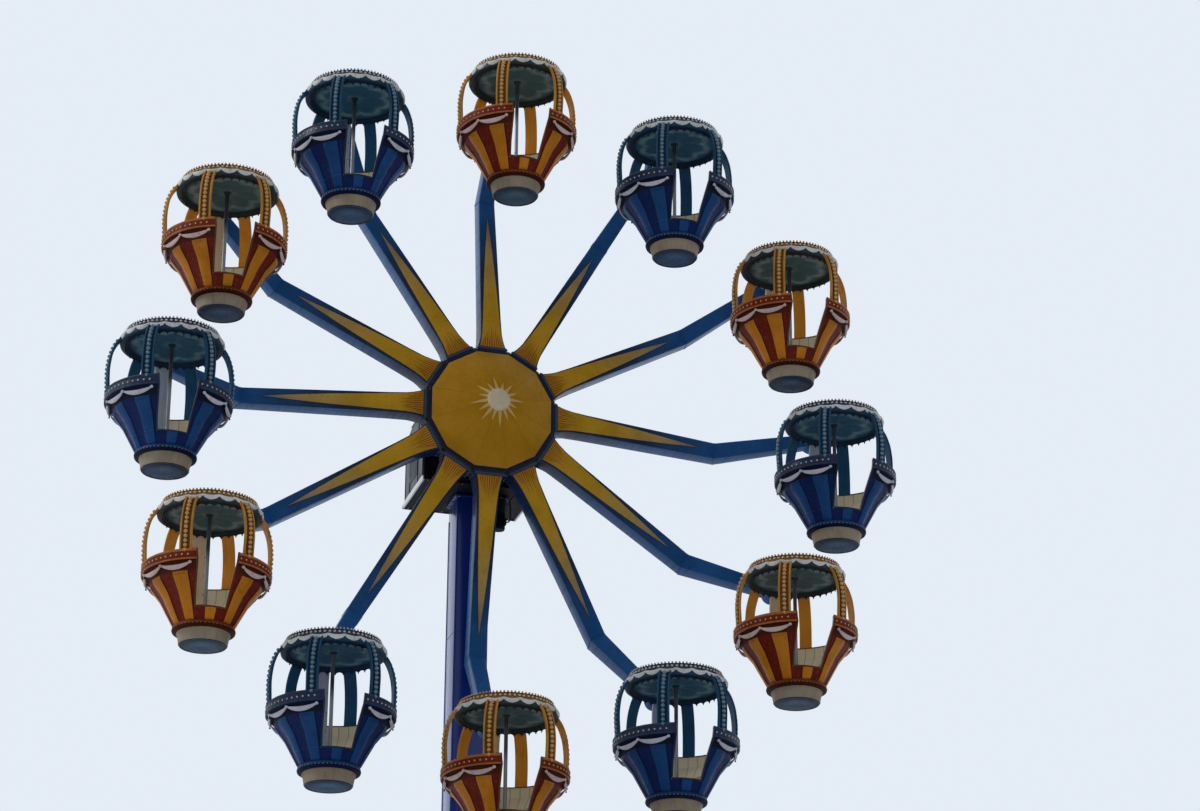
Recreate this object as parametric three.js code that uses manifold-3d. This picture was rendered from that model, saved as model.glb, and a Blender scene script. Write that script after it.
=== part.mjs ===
// Fairground wheel with twelve balloon-shaped gondolas on one column.
// Millimetres, +Z up. The origin is the centre of the base plate's underside.
// The wheel turns in front of the column, on the -Y side, and its axle points along -Y.

import * as THREE from 'three';
import { mergeVertices } from 'three/addons/utils/BufferGeometryUtils.js';
import Module from 'manifold-3d';

const wasm = await Module();
wasm.setup();

// Driving dimensions

const GONDOLAS = 12;
const STEP_ANGLE = (2 * Math.PI) / GONDOLAS;
const SEAT_GAP = 0.3;            // between faces that touch

const HUB_HEIGHT = 8200;         // wheel's axle above the ground
const HUB_FACE_Y = -1300;        // plane of the hub's front rim
const PIVOT_RADIUS = 5410;       // circle through the gondola pivots

const COLUMN_WIDTH = 550;
const BASE_SIZE = 1800;
const BASE_THICKNESS = 60;

const HUB_CORNER_RADIUS = 1075;  // 12-sided drum, over its corners
const HUB_DEPTH = 400;
const CAP_CORNER_RADIUS = 1030;
const CAP_HEIGHT = 500;
const CAP_DISC_RADIUS = 175;
const HUB_APOTHEM = HUB_CORNER_RADIUS * Math.cos(STEP_ANGLE / 2);

const ELBOW_RADIUS = 4020;       // where an arm bends forward
const ARM_ROOT_Z = -190;         // arm's centre line in front of the hub's rim plane
const ELBOW_Z = -740;
const PIVOT_Z = 270;

const GONDOLA_RADIUS = 970;      // at the rail
const GONDOLA_FORWARD = 1000;    // from the arm's end to the gondola's own axis
const PIVOT_LEVEL = 2180;        // pivot above the gondola's underside
const FLOOR_LEVEL = 300;
const SILL_LEVEL = 455;
const RAIL_LEVEL = 1180;
const CANOPY_LEVEL = 2020;
const RIBS = 6;

const GONDOLA_FACETS = 18;
const PIN_SIDES = 12;

// Colours

const paint = (color, roughness = 0.45, metalness = 0.1) =>
  new THREE.MeshStandardMaterial({ color, roughness, metalness });
const armBlue = paint(0x1d4f8f);
const columnBlue = paint(0x14306e);
const capYellow = paint(0xc08a14);
const rimNavy = paint(0x16213d);
const machineGrey = paint(0x23272f, 0.6, 0.3);
const housingWhite = paint(0xb9bec6, 0.5, 0.1);
const basketOrange = paint(0xb9640f);
const basketBlue = paint(0x133a7c);
const canopyOrange = paint(0xc47a18);
const canopyBlue = paint(0x1b4f86);

// Solids

function manifoldOf(geometry) {
  const bare = geometry.clone();
  bare.deleteAttribute('normal');
  bare.deleteAttribute('uv');
  const welded = mergeVertices(bare, 1e-3);
  const mesh = new wasm.Mesh({
    numProp: 3,
    vertProperties: new Float32Array(welded.attributes.position.array),
    triVerts: new Uint32Array(welded.index.array),
  });
  return new wasm.Manifold(mesh);
}

function geometryOf(manifold) {
  const mesh = manifold.getMesh();
  const geometry = new THREE.BufferGeometry();
  geometry.setAttribute('position', new THREE.BufferAttribute(mesh.vertProperties, 3));
  geometry.setIndex(new THREE.BufferAttribute(mesh.triVerts, 1));
  geometry.computeVertexNormals();
  return geometry;
}

function named(name, shape, material) {
  const geometry = shape.isBufferGeometry ? shape : geometryOf(shape);
  const mesh = new THREE.Mesh(geometry, material);
  mesh.name = name;
  return mesh;
}

const join = (parts) => parts.reduce((whole, part) => whole.add(part));

function block([x0, x1], [y0, y1], [z0, z1]) {
  const box = new THREE.BoxGeometry(x1 - x0, y1 - y0, z1 - z0);
  box.translate((x0 + x1) / 2, (y0 + y1) / 2, (z0 + z1) / 2);
  return manifoldOf(box);
}

// Solid of revolution about +Z. Points are [radius, height]. A facet's middle faces -Y.
function turned(points, facets = GONDOLA_FACETS) {
  const outline = points.map(([radius, height]) => new THREE.Vector2(radius, height));
  const geometry = new THREE.LatheGeometry(outline, facets, Math.PI / facets);
  geometry.rotateX(Math.PI / 2);
  return manifoldOf(geometry);
}

// Outline of [x, y] points pushed along +Z from z0 to z1.
function prism(points, z0, z1) {
  const shape = new THREE.Shape(points.map(([x, y]) => new THREE.Vector2(x, y)));
  const geometry = new THREE.ExtrudeGeometry(shape, { depth: z1 - z0, bevelEnabled: false });
  geometry.translate(0, 0, z0);
  return geometry;
}

// Outline of [y, z] points pushed along +X from x0 to x1.
function sidePrism(points, x0, x1) {
  const geometry = prism(points, x0, x1);
  geometry.applyMatrix4(new THREE.Matrix4().set(0, 0, 1, 0, 1, 0, 0, 0, 0, 1, 0, 0, 0, 0, 0, 1));
  return manifoldOf(geometry);
}

// Round bar along Y.
function barAlongY(radius, y0, y1, x = 0, z = 0, sides = 16) {
  const geometry = new THREE.CylinderGeometry(radius, radius, y1 - y0, sides);
  geometry.translate(x, (y0 + y1) / 2, z);
  return manifoldOf(geometry);
}

// Round bar along Z.
function barAlongZ(radius, z0, z1, x = 0, y = 0, sides = 12) {
  const geometry = new THREE.CylinderGeometry(radius, radius, z1 - z0, sides);
  geometry.rotateX(Math.PI / 2);
  geometry.translate(x, y, (z0 + z1) / 2);
  return manifoldOf(geometry);
}

// Regular polygon with a flat side facing +Y.
function polygon(sides, cornerRadius) {
  return Array.from({ length: sides }, (_, i) => {
    const angle = Math.PI / 2 + ((i + 0.5) * 2 * Math.PI) / sides;
    return [cornerRadius * Math.cos(angle), cornerRadius * Math.sin(angle)];
  });
}

// Tower: base plate, column, machine floor, machine housing, slewing bearing and drive motor

const FLOOR = { halfWidth: 970, front: -770, back: 690, bottom: HUB_HEIGHT - 1100, thickness: 60 };
const HOUSING = {
  halfWidth: 935,
  front: -600,
  back: 650,
  top: HUB_HEIGHT + 200,
  pedestalHalfWidth: 600,
  pedestalFront: -750,
  pedestalBack: -250,
  pedestalTop: HUB_HEIGHT + 650,
};

function basePlate() {
  const half = BASE_SIZE / 2;
  const columnFace = COLUMN_WIDTH / 2 + SEAT_GAP;
  const gussetReach = half - 110;
  const gussetHeight = 650;
  const gussetHalf = 20;
  const gussetOffset = 170;
  const toe = 60;
  const outline = [
    [columnFace, BASE_THICKNESS],
    [gussetReach, BASE_THICKNESS],
    [gussetReach, BASE_THICKNESS + toe],
    [columnFace + toe, gussetHeight],
    [columnFace, gussetHeight],
  ];
  const parts = [block([-half, half], [-half, half], [0, BASE_THICKNESS])];
  for (const offset of [-gussetOffset, gussetOffset]) {
    const gusset = sidePrism(outline, offset - gussetHalf, offset + gussetHalf);
    for (let side = 0; side < 4; side += 1) {
      parts.push(gusset.rotate([0, 0, side * 90]));
    }
  }
  return join(parts);
}

function column() {
  const half = COLUMN_WIDTH / 2;
  const z0 = BASE_THICKNESS + SEAT_GAP;
  const z1 = FLOOR.bottom - SEAT_GAP;
  return block([-half, half], [-half, half], [z0, z1]);
}

function machineFloor() {
  const { halfWidth, front, back, bottom, thickness } = FLOOR;
  return block([-halfWidth, halfWidth], [front, back], [bottom, bottom + thickness]);
}

// A low wide body over the whole floor, and a pedestal that rises behind the hub to carry the bearing.
function machineHousing() {
  const { halfWidth, front, back, top } = HOUSING;
  const { pedestalHalfWidth, pedestalFront, pedestalBack, pedestalTop } = HOUSING;
  const bottom = FLOOR.bottom + FLOOR.thickness + SEAT_GAP;
  const eaves = top - 120;
  const roofSlope = 380;
  const body = sidePrism([
    [front, bottom],
    [back, bottom],
    [back, eaves],
    [back - roofSlope, top],
    [front, top],
  ], -halfWidth, halfWidth);
  const pedestal = sidePrism([
    [pedestalFront, bottom],
    [back - roofSlope, bottom],
    [back - roofSlope, top],
    [pedestalBack, pedestalTop],
    [pedestalFront, pedestalTop],
  ], -pedestalHalfWidth, pedestalHalfWidth);
  return body.add(pedestal);
}

function slewingBearing() {
  const radius = 520;
  const hubBack = HUB_FACE_Y + HUB_DEPTH;
  return barAlongY(radius, hubBack + SEAT_GAP, HOUSING.pedestalFront - SEAT_GAP, 0, HUB_HEIGHT, 24);
}

function driveMotor() {
  const x = 430;
  const y = -275;
  const seat = FLOOR.bottom - SEAT_GAP;
  const flange = barAlongZ(145, seat - 60, seat, x, y, 16);
  const gearbox = barAlongZ(115, seat - 260, seat - 50, x, y, 16);
  const motor = barAlongZ(100, seat - 560, seat - 250, x, y, 16);
  return join([flange, gearbox, motor]);
}

// Wheel: made in its own axes, X to the right, Y up and Z forward along the axle

function hubDrum() {
  return manifoldOf(prism(polygon(GONDOLAS, HUB_CORNER_RADIUS), -HUB_DEPTH, 0));
}

function hubCap() {
  const outline = [
    [0, SEAT_GAP],
    [CAP_CORNER_RADIUS, SEAT_GAP],
    [CAP_CORNER_RADIUS, 40],
    [CAP_DISC_RADIUS, CAP_HEIGHT - 30],
    [CAP_DISC_RADIUS, CAP_HEIGHT],
    [0, CAP_HEIGHT],
  ];
  const points = outline.map(([radius, height]) => new THREE.Vector2(radius, height));
  const geometry = new THREE.LatheGeometry(points, GONDOLAS, Math.PI / GONDOLAS);
  geometry.rotateX(Math.PI / 2);
  return manifoldOf(geometry);
}

const ARM = {
  rootHalfDepth: 180,
  elbowHalfDepth: 150,
  endHalfDepth: 110,
  flareHalfWidth: 262,
  flareLength: 430,
  rootHalfWidth: 170,
  elbowHalfWidth: 135,
  endHalfWidth: 100,
  rootY: HUB_APOTHEM + SEAT_GAP,
  flangeHalfWidth: 250,
  flangeHalfDepth: 190,
  flangeThickness: 35,
  bossRadius: 150,
  bossFront: 130,
  bossBack: 215,
  boreRadius: 56,
};

// Side outline of the bent arm, as [y, z] points. The elbow is mitred.
function armSide() {
  const { rootHalfDepth, elbowHalfDepth, endHalfDepth, rootY } = ARM;
  const inner = Math.atan2(ELBOW_Z - ARM_ROOT_Z, ELBOW_RADIUS - rootY);
  const outer = Math.atan2(PIVOT_Z - ELBOW_Z, PIVOT_RADIUS - ELBOW_RADIUS);
  const mitre = (inner + outer) / 2;
  const half = elbowHalfDepth / Math.cos((outer - inner) / 2);
  const elbowShift = [-Math.sin(mitre) * half, Math.cos(mitre) * half];
  const endShift = [-Math.sin(outer) * endHalfDepth, Math.cos(outer) * endHalfDepth];
  return [
    [rootY, ARM_ROOT_Z - rootHalfDepth],
    [ELBOW_RADIUS - elbowShift[0], ELBOW_Z - elbowShift[1]],
    [PIVOT_RADIUS - endShift[0], PIVOT_Z - endShift[1]],
    [PIVOT_RADIUS + endShift[0], PIVOT_Z + endShift[1]],
    [ELBOW_RADIUS + elbowShift[0], ELBOW_Z + elbowShift[1]],
    [rootY, ARM_ROOT_Z + rootHalfDepth],
  ];
}

// Front outline of the arm, as [x, y] points. Its root flares in a hollow curve towards its neighbours.
function armFront() {
  const { flareHalfWidth, flareLength, rootHalfWidth, elbowHalfWidth, endHalfWidth, rootY } = ARM;
  const flareSteps = 5;
  const flare = Array.from({ length: flareSteps + 1 }, (_, i) => {
    const along = i / flareSteps;
    const widening = (flareHalfWidth - rootHalfWidth) * (1 - along) ** 2;
    return [rootHalfWidth + widening, rootY - 10 + along * flareLength];
  });
  const right = [
    ...flare,
    [elbowHalfWidth, ELBOW_RADIUS],
    [endHalfWidth, PIVOT_RADIUS + 200],
  ];
  const left = right.map(([x, y]) => [-x, y]).reverse();
  return [...right, ...left];
}

function arm() {
  const side = sidePrism(armSide(), -400, 400);
  const front = manifoldOf(prism(armFront(), -1500, 1500));
  const beam = side.intersect(front);
  const flange = block(
    [-ARM.flangeHalfWidth, ARM.flangeHalfWidth],
    [ARM.rootY, ARM.rootY + ARM.flangeThickness],
    [ARM_ROOT_Z - ARM.flangeHalfDepth, ARM_ROOT_Z + ARM.flangeHalfDepth],
  );
  const back = PIVOT_Z - ARM.bossBack;
  const forward = PIVOT_Z + ARM.bossFront;
  const boss = barAlongZ(ARM.bossRadius, back, forward, 0, PIVOT_RADIUS, PIN_SIDES);
  const bore = barAlongZ(ARM.boreRadius, back - 200, forward + 200, 0, PIVOT_RADIUS, PIN_SIDES);
  return join([beam, flange, boss]).subtract(bore);
}

// Gondola: made with its own axis on Z and its underside at height 0, doorway towards -Y

function basket() {
  const outer = turned([
    [0, 0],
    [360, 0],
    [404, 190],
    [476, 208],
    [476, 264],
    [450, 285],
    [667, 680],
    [882, 955],
    [GONDOLA_RADIUS, 1055],
    [GONDOLA_RADIUS, RAIL_LEVEL],
    [0, RAIL_LEVEL],
  ]);
  const benchTop = 720;
  const lining = [benchTop + 1, RAIL_LEVEL + 50];
  const inside = turned([
    [0, FLOOR_LEVEL],
    [430, FLOOR_LEVEL],
    [430, benchTop],
    [655, benchTop],
    [850, 965],
    [908, 1030],
    [908, lining[1]],
    [0, lining[1]],
  ]);
  const footwell = turned([[0, FLOOR_LEVEL], [435, FLOOR_LEVEL], [655, lining[0]], [0, lining[0]]])
    .intersect(block([-300, 300], [-1200, 0], [FLOOR_LEVEL - 50, lining[0]]));
  const doorTop = 315;
  const doorSill = 232;
  const doorway = prism(
    [[-doorSill, SILL_LEVEL], [doorSill, SILL_LEVEL], [doorTop, RAIL_LEVEL + 50], [-doorTop, RAIL_LEVEL + 50]],
    300,
    1200,
  );
  doorway.rotateX(Math.PI / 2);
  return outer.subtract(inside).subtract(footwell).subtract(manifoldOf(doorway));
}

// Curve of a rib's middle, as [radius, height].
const RIB_LINE = [
  [925, RAIL_LEVEL + SEAT_GAP],
  [942, 1500],
  [905, 1820],
  [845, 1980],
  [765, CANOPY_LEVEL + 75],
];

function rib() {
  const halfThickness = 30;
  const halfWidth = 85;
  const outside = RIB_LINE.map(([radius, height]) => [-(radius + halfThickness), height]);
  const inside = RIB_LINE.map(([radius, height]) => [-(radius - halfThickness), height]).reverse();
  return sidePrism([...outside, ...inside], -halfWidth, halfWidth);
}

function canopy() {
  const rimTop = 2232;
  const ceiling = 2140;
  const roof = turned([
    [0, ceiling],
    [655, ceiling - 20],
    [662, CANOPY_LEVEL - 5],
    [702, CANOPY_LEVEL - 5],
    [712, CANOPY_LEVEL + 5],
    [795, CANOPY_LEVEL + 5],
    [806, CANOPY_LEVEL + 20],
    [806, CANOPY_LEVEL + 75],
    [785, CANOPY_LEVEL + 92],
    [690, rimTop],
    [440, 2288],
    [0, 2320],
  ]);
  const poleRadius = 38;
  const parts = [roof];
  const first = 180 / RIBS;
  for (let i = 0; i < RIBS; i += 1) {
    parts.push(rib().rotate([0, 0, first + (i * 360) / RIBS]));
  }
  parts.push(barAlongZ(poleRadius, FLOOR_LEVEL + SEAT_GAP, ceiling + 50, 0, 0, 8));
  parts.push(rearPost());
  parts.push(hanger());
  return join(parts);
}

// Flat post inside the back of the tub, from its lining up to the hanger's bracket.
function rearPost() {
  const halfWidth = 120;
  const [front, back] = [815, 883];
  const [headFront, headBack] = [780, 845];   // cranked forward, clear of the arm
  const foot = 1022;
  const bend = 1870;
  const headBottom = CANOPY_LEVEL + 15;
  const headTop = CANOPY_LEVEL + 80;
  const outline = [
    [front, foot],
    [back, foot],
    [back, bend],
    [headBack, headBottom],
    [headBack, headTop],
    [headFront, headTop],
    [headFront, headBottom],
    [front, bend],
  ];
  return sidePrism(outline, -halfWidth, halfWidth);
}

// Bracket behind the canopy, with the shaft that hangs the gondola in the arm's boss.
function hanger() {
  const shaftRadius = 53;
  const collarRadius = 95;
  const collarLength = 30;
  const bossFront = GONDOLA_FORWARD - ARM.bossFront;
  const bossBack = GONDOLA_FORWARD + ARM.bossBack;
  const bracket = block([-230, 230], [690, bossFront - 60], [CANOPY_LEVEL + 20, PIVOT_LEVEL + 70]);
  const plate = barAlongY(130, bossFront - 70, bossFront - SEAT_GAP, 0, PIVOT_LEVEL, PIN_SIDES);
  const shaft = barAlongY(shaftRadius, bossFront - 20, bossBack + 10, 0, PIVOT_LEVEL, PIN_SIDES);
  const collar = barAlongY(
    collarRadius, bossBack + SEAT_GAP, bossBack + SEAT_GAP + collarLength, 0, PIVOT_LEVEL, PIN_SIDES);
  return join([bracket, plate, shaft, collar]);
}

// Assembly

const wheel = new THREE.Group();
wheel.add(named('base_plate', basePlate(), columnBlue));
wheel.add(named('column', column(), columnBlue));
wheel.add(named('machine_floor', machineFloor(), machineGrey));
wheel.add(named('machine_housing', machineHousing(), housingWhite));
wheel.add(named('slewing_bearing', slewingBearing(), machineGrey));
wheel.add(named('drive_motor', driveMotor(), machineGrey));

const rotor = new THREE.Group();
rotor.position.set(0, HUB_FACE_Y, HUB_HEIGHT);
rotor.rotation.x = Math.PI / 2;
rotor.add(named('hub_drum', hubDrum(), rimNavy));
rotor.add(named('hub_cap', hubCap(), capYellow));
wheel.add(rotor);

const armShape = geometryOf(arm());
const basketShape = geometryOf(basket());
const canopyShape = geometryOf(canopy());

for (let i = 0; i < GONDOLAS; i += 1) {
  const number = String(i + 1).padStart(2, '0');
  const angle = i * STEP_ANGLE;

  const spoke = named(`arm_${number}`, armShape, armBlue);
  spoke.rotation.z = -angle;
  rotor.add(spoke);

  const gondola = new THREE.Group();
  gondola.position.set(
    PIVOT_RADIUS * Math.sin(angle),
    HUB_FACE_Y - PIVOT_Z - GONDOLA_FORWARD,
    HUB_HEIGHT + PIVOT_RADIUS * Math.cos(angle) - PIVOT_LEVEL,
  );
  const orange = i % 2 === 0;
  gondola.add(named(`basket_${number}`, basketShape, orange ? basketOrange : basketBlue));
  gondola.add(named(`canopy_${number}`, canopyShape, orange ? canopyOrange : canopyBlue));
  wheel.add(gondola);
}

export default wheel;
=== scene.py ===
"""Looks of a fairground wheel with twelve balloon-shaped gondolas on one column.

Metres, +Z up, the front is -Y. A gondola is made once in each colour, on its own axis and with its
underside at height 0, and stands in all its places. Its doorway faces -Y, and angles round its axis
start there. The wheel's parts are made in the wheel's own axes: X to the right, Y outwards along an
arm, Z forward.
"""

import math

import bmesh
import bpy
from mathutils import Matrix, Vector


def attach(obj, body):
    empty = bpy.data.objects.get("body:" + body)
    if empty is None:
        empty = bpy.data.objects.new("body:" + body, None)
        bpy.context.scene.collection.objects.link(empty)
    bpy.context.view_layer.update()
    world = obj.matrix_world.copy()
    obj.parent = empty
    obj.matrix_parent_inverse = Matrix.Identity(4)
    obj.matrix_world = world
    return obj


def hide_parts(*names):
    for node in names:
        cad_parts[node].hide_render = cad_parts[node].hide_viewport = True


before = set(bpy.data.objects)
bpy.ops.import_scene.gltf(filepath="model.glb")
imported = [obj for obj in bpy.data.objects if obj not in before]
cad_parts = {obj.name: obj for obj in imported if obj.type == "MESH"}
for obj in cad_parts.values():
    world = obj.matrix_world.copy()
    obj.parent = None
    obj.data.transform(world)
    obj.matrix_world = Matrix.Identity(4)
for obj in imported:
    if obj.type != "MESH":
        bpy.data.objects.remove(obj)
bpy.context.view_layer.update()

TURN = 2 * math.pi
CREASE = math.radians(32)        # sharper edges stay sharp under smooth shading

# Wheel
GONDOLAS = 12
STEP_ANGLE = TURN / GONDOLAS
HUB = Vector((0, -1.3, 8.2))     # centre of the hub's front rim, on the axle
PIVOT_RADIUS = 5.41
PIVOT_FORWARD = 0.27             # pivots in front of the hub's rim
GONDOLA_FORWARD = 1.0            # gondola's own axis in front of the arm's end
PIVOT_LEVEL = 2.18               # pivot above the gondola's underside

# Hub
HUB_CORNER = 1.075
HUB_DEPTH = 0.4
CAP_CORNER = 1.03
CAP_EDGE = 0.04
CAP_TOP = 0.47
CAP_DISC = 0.175
FACET_COSINE = math.cos(STEP_ANGLE / 2)
ARM_ROOT = HUB_CORNER * FACET_COSINE + 0.0003

# Arm, as places of its centre line (outwards, forward) and half sizes
ELBOW_OUT = 4.02
ARM_LINE = [(ARM_ROOT, -0.19), (ELBOW_OUT, -0.74), (PIVOT_RADIUS, PIVOT_FORWARD)]
ARM_HALF_DEPTHS = [0.18, 0.15, 0.11]
FLARE_HALF_WIDTH = 0.262
FLARE_LENGTH = 0.43
ROOT_HALF_WIDTH = 0.17
ELBOW_HALF_WIDTH = 0.135
END_HALF_WIDTH = 0.102
BOSS_RADIUS = 0.15
BOSS_FRONT = 0.13
BOSS_BACK = 0.215

# Gondola, radii and heights
DISC_RADIUS = 0.358
CONE = [(0.445, 0.285), (0.658, 0.68), (0.876, 0.955)]
SHELL = 0.026
FLOOR_LEVEL = 0.3
SILL_LEVEL = 0.455
BENCH_LEVEL = 0.72
BENCH_RADIUS = 0.43
RAIL_LEVEL = 1.18
RAIL_RADIUS = 0.97
DOOR_SILL_HALF = 0.232
DOOR_TOP_HALF = 0.315
GORE_MIDDLES = [math.radians(a) for a in (0, 38, 74, 109, 144.5, 180, 215.5, 251, 286, 322)]
GORE_HALF = math.radians(9.6)
FLUTE_HALF = math.radians(8.2)
SWAGS = 10
DOOR_SWAG_ANGLE = math.radians(25)
RIBS = 6
CANOPY_LEVEL = 2.02

# Tower
COLUMN_HALF = 0.275
FLOOR_BOTTOM = HUB.z - 1.1
FLOOR_THICK = 0.06


# Meshes

def polar(radius, angle, height):
    """Point round the Z axis. Angle 0 is towards -Y, and it grows towards +X."""
    return Vector((radius * math.sin(angle), -radius * math.cos(angle), height))


def spread(count, start=0.0, end=TURN):
    """count values from start, in equal steps towards end."""
    return [start + (end - start) * i / count for i in range(count)]


def between(a, b, share):
    return a + (b - a) * share


def smooth_path(points, steps):
    """Smooth curve through the points, with that many steps between each two."""
    points = [Vector(p) for p in points]
    line = [2 * points[0] - points[1], *points, 2 * points[-1] - points[-2]]
    path = []
    for a, b, c, d in zip(line, line[1:], line[2:], line[3:]):
        for t in spread(steps, 0, 1):
            path.append((2 * b + (c - a) * t + (2 * a - 5 * b + 4 * c - d) * t ** 2
                         + (3 * b - a - 3 * c + d) * t ** 3) / 2)
    return path + [points[-1]]


def round_section(half_width, half_height, steps=8):
    """Ellipse as a list of (side, out) points."""
    return [(half_width * math.cos(a), half_height * math.sin(a)) for a in spread(steps)]


def soft_rectangle(half_width, half_height, corner, steps=2):
    """Rectangle with rounded corners, as (side, out) points."""
    points = []
    for quarter, (x, y) in enumerate([(1, 1), (-1, 1), (-1, -1), (1, -1)]):
        for i in range(steps + 1):
            angle = (quarter + i / steps) * math.pi / 2
            points.append((x * (half_width - corner) + corner * math.cos(angle),
                           y * (half_height - corner) + corner * math.sin(angle)))
    return points


def strides(path):
    """Step from the point before to the point after, at each point of a path."""
    return [b - a for a, b in zip(path[:1] + path[:-1], path[1:] + path[-1:])]


def outs_of(path):
    """Outward directions along a path in the YZ plane."""
    return [Vector((1, 0, 0)).cross(stride).normalized() for stride in strides(path)]


def facing(place, out):
    """Matrix that stands a shape at a place with its own +Z along out."""
    return Matrix.Translation(place) @ Vector(out).to_track_quat("Z", "Y").to_matrix().to_4x4()


def towards_back(height):
    """Matrix that lays a shape's own +Z along +Y, at a height."""
    return Matrix.Translation((0, 0, height)) @ Matrix.Rotation(-math.pi / 2, 4, "X")


def turned_by(angle):
    return Matrix.Rotation(angle, 4, "Z")


class Shape:
    """Points and faces of a piece. Each face has the name of its paint."""

    def __init__(self):
        self.points = []
        self.faces = []
        self.paints = []

    def add(self, points, faces, paint):
        first = len(self.points)
        self.points += [Vector(p) for p in points]
        self.faces += [[first + i for i in face] for face in faces]
        self.paints += [paint] * len(faces) if isinstance(paint, str) else list(paint)

    def collar(self, inner, outer, low, high, paint, columns, opening=None):
        """Ring or disc with a rectangular section."""
        self.turned([(inner, low), (outer, low), (outer, high), (inner, high)], paint, columns, opening)

    def put(self, other, places):
        """Copies of another shape, one at each matrix."""
        for place in places:
            self.add([place @ p for p in other.points], other.faces, other.paints)

    def stand(self, other, points, out):
        """Copies of another shape at points, with their own +Z along out."""
        self.put(other, [facing(point, out) for point in points])

    def ring(self, other, radius, height, angles, out=1, up=0):
        """Copies of another shape round the Z axis, with their own +Z outwards and upwards."""
        self.put(other, [facing(polar(radius, a, height), polar(out, a, up)) for a in angles])

    def skin(self, rows, paint, wrap=True, loop=False, ends=False):
        """Faces between rows of points. wrap joins each row's ends, and loop the last row to the first.
        ends closes the first and the last row. paint is a name, or a function of row and column."""
        wide = len(rows[0])
        choose = (lambda row, column: paint) if isinstance(paint, str) else paint
        faces = []
        paints = []
        for i in range(len(rows) if loop else len(rows) - 1):
            for j in range(wide if wrap else wide - 1):
                k, m = (i + 1) % len(rows), (j + 1) % wide
                faces.append((i * wide + j, i * wide + m, k * wide + m, k * wide + j))
                paints.append(choose(i, j))
        if ends:
            last = (len(rows) - 1) * wide
            faces += [tuple(range(wide)), tuple(range(last, last + wide))]
            paints += [choose(0, 0), choose(len(rows) - 1, 0)]
        self.add([p for row in rows for p in row], faces, paints)

    def turned(self, profile, paint, columns=72, opening=None, relief=None):
        """Closed profile of (radius, height) points swept round the Z axis.

        columns is a number or a list of angles. opening(radius, height) is half the angle that a doorway
        leaves out. relief(row, angle) gives a shift (outwards, upwards). paint is a name, a list with one
        name for each side of the profile, or a function of side and column.
        """
        angles = spread(columns) if isinstance(columns, int) else columns
        choose = (lambda row, column: paint[row]) if isinstance(paint, list) else paint
        rows = []
        for i, (radius, height) in enumerate(profile):
            gap = opening(radius, height) if opening else 0.0
            row = []
            for angle in angles:
                angle = min(max(angle, gap), TURN - gap)
                out, up = relief(i, angle) if relief else (0.0, 0.0)
                row.append(polar(radius + out, angle, height + up))
            rows.append(row)
        self.skin(rows, choose, wrap=opening is None, loop=True)
        if opening:
            for column in (0, -1):
                name = paint if isinstance(paint, str) else choose(0, 0)
                self.add([row[column] for row in rows], [range(len(rows))], name)

    def sweep(self, path, outs, section, paint):
        """Closed section of (side, out) points carried along a path. outs is one direction, or one for each
        point. section may be a function of the step, and paint a list with one name for each side of it."""
        if isinstance(outs, Vector):
            outs = [outs] * len(path)
        rows = []
        for i, (point, stride) in enumerate(zip(path, strides(path))):
            side = stride.cross(outs[i]).normalized()
            points = section(i) if callable(section) else section
            rows.append([point + side * across + outs[i] * out for across, out in points])
        choose = (lambda row, column: paint[column]) if isinstance(paint, list) else paint
        self.skin(rows, choose, ends=True)

    def tube(self, path, radius, paint, sides=8):
        """Round bar along a path."""
        path = [Vector(p) for p in path]
        out = (path[1] - path[0]).orthogonal().normalized()
        outs = []
        for stride in strides(path):
            along = stride.normalized()
            out = (out - along * out.dot(along)).normalized()
            outs.append(out)
        self.sweep(path, outs, round_section(radius, radius, sides), paint)

    def block(self, low, high, paint, edge=0.006, place=Matrix()):
        """Box between two corners, with bevelled edges."""
        low, high = Vector(low), Vector(high)
        box = bmesh.new()
        size = Matrix.Diagonal((high - low).to_4d())
        bmesh.ops.create_cube(box, size=1, matrix=Matrix.Translation((low + high) / 2) @ size)
        bmesh.ops.bevel(box, geom=box.edges[:], offset=edge, segments=1, affect="EDGES", profile=0.5)
        box.verts.index_update()
        self.add([place @ v.co for v in box.verts], [[v.index for v in f.verts] for f in box.faces], paint)
        box.free()


def mesh_of(name, shape, finishes):
    """Mesh with points joined, faces turned outwards, and sharp edges kept."""
    mesh = bpy.data.meshes.new(name)
    mesh.from_pydata(shape.points, [], shape.faces)
    used = sorted(set(shape.paints))
    for paint in used:
        mesh.materials.append(finishes[paint])
    mesh.polygons.foreach_set("material_index", [used.index(paint) for paint in shape.paints])
    work = bmesh.new()
    work.from_mesh(mesh)
    bmesh.ops.remove_doubles(work, verts=work.verts, dist=1e-5)
    bmesh.ops.recalc_face_normals(work, faces=work.faces)
    for face in work.faces:
        face.smooth = True
    for edge in work.edges:
        edge.smooth = len(edge.link_faces) == 2 and edge.calc_face_angle() < CREASE
    work.to_mesh(mesh)
    work.free()
    return mesh


def piece(name, mesh, body, replaced, place=Matrix()):
    """Object that rides on a body, and stands for the CAD nodes that it replaces."""
    obj = bpy.data.objects.new(name, mesh)
    obj.matrix_world = place
    bpy.context.scene.collection.objects.link(obj)
    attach(obj, body)
    if replaced:
        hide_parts(*replaced)


def bolt(radius):
    """Hexagon head on a washer, standing on its own XY plane."""
    shape = Shape()
    shape.collar(0, radius * 1.5, 0, radius * 0.25, "bolt", 12)
    shape.turned([(0, radius * 0.2), (radius, radius * 0.2), (radius, radius * 0.8),
                  (radius * 0.8, radius), (0, radius)], "bolt", 6)
    return shape


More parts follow.
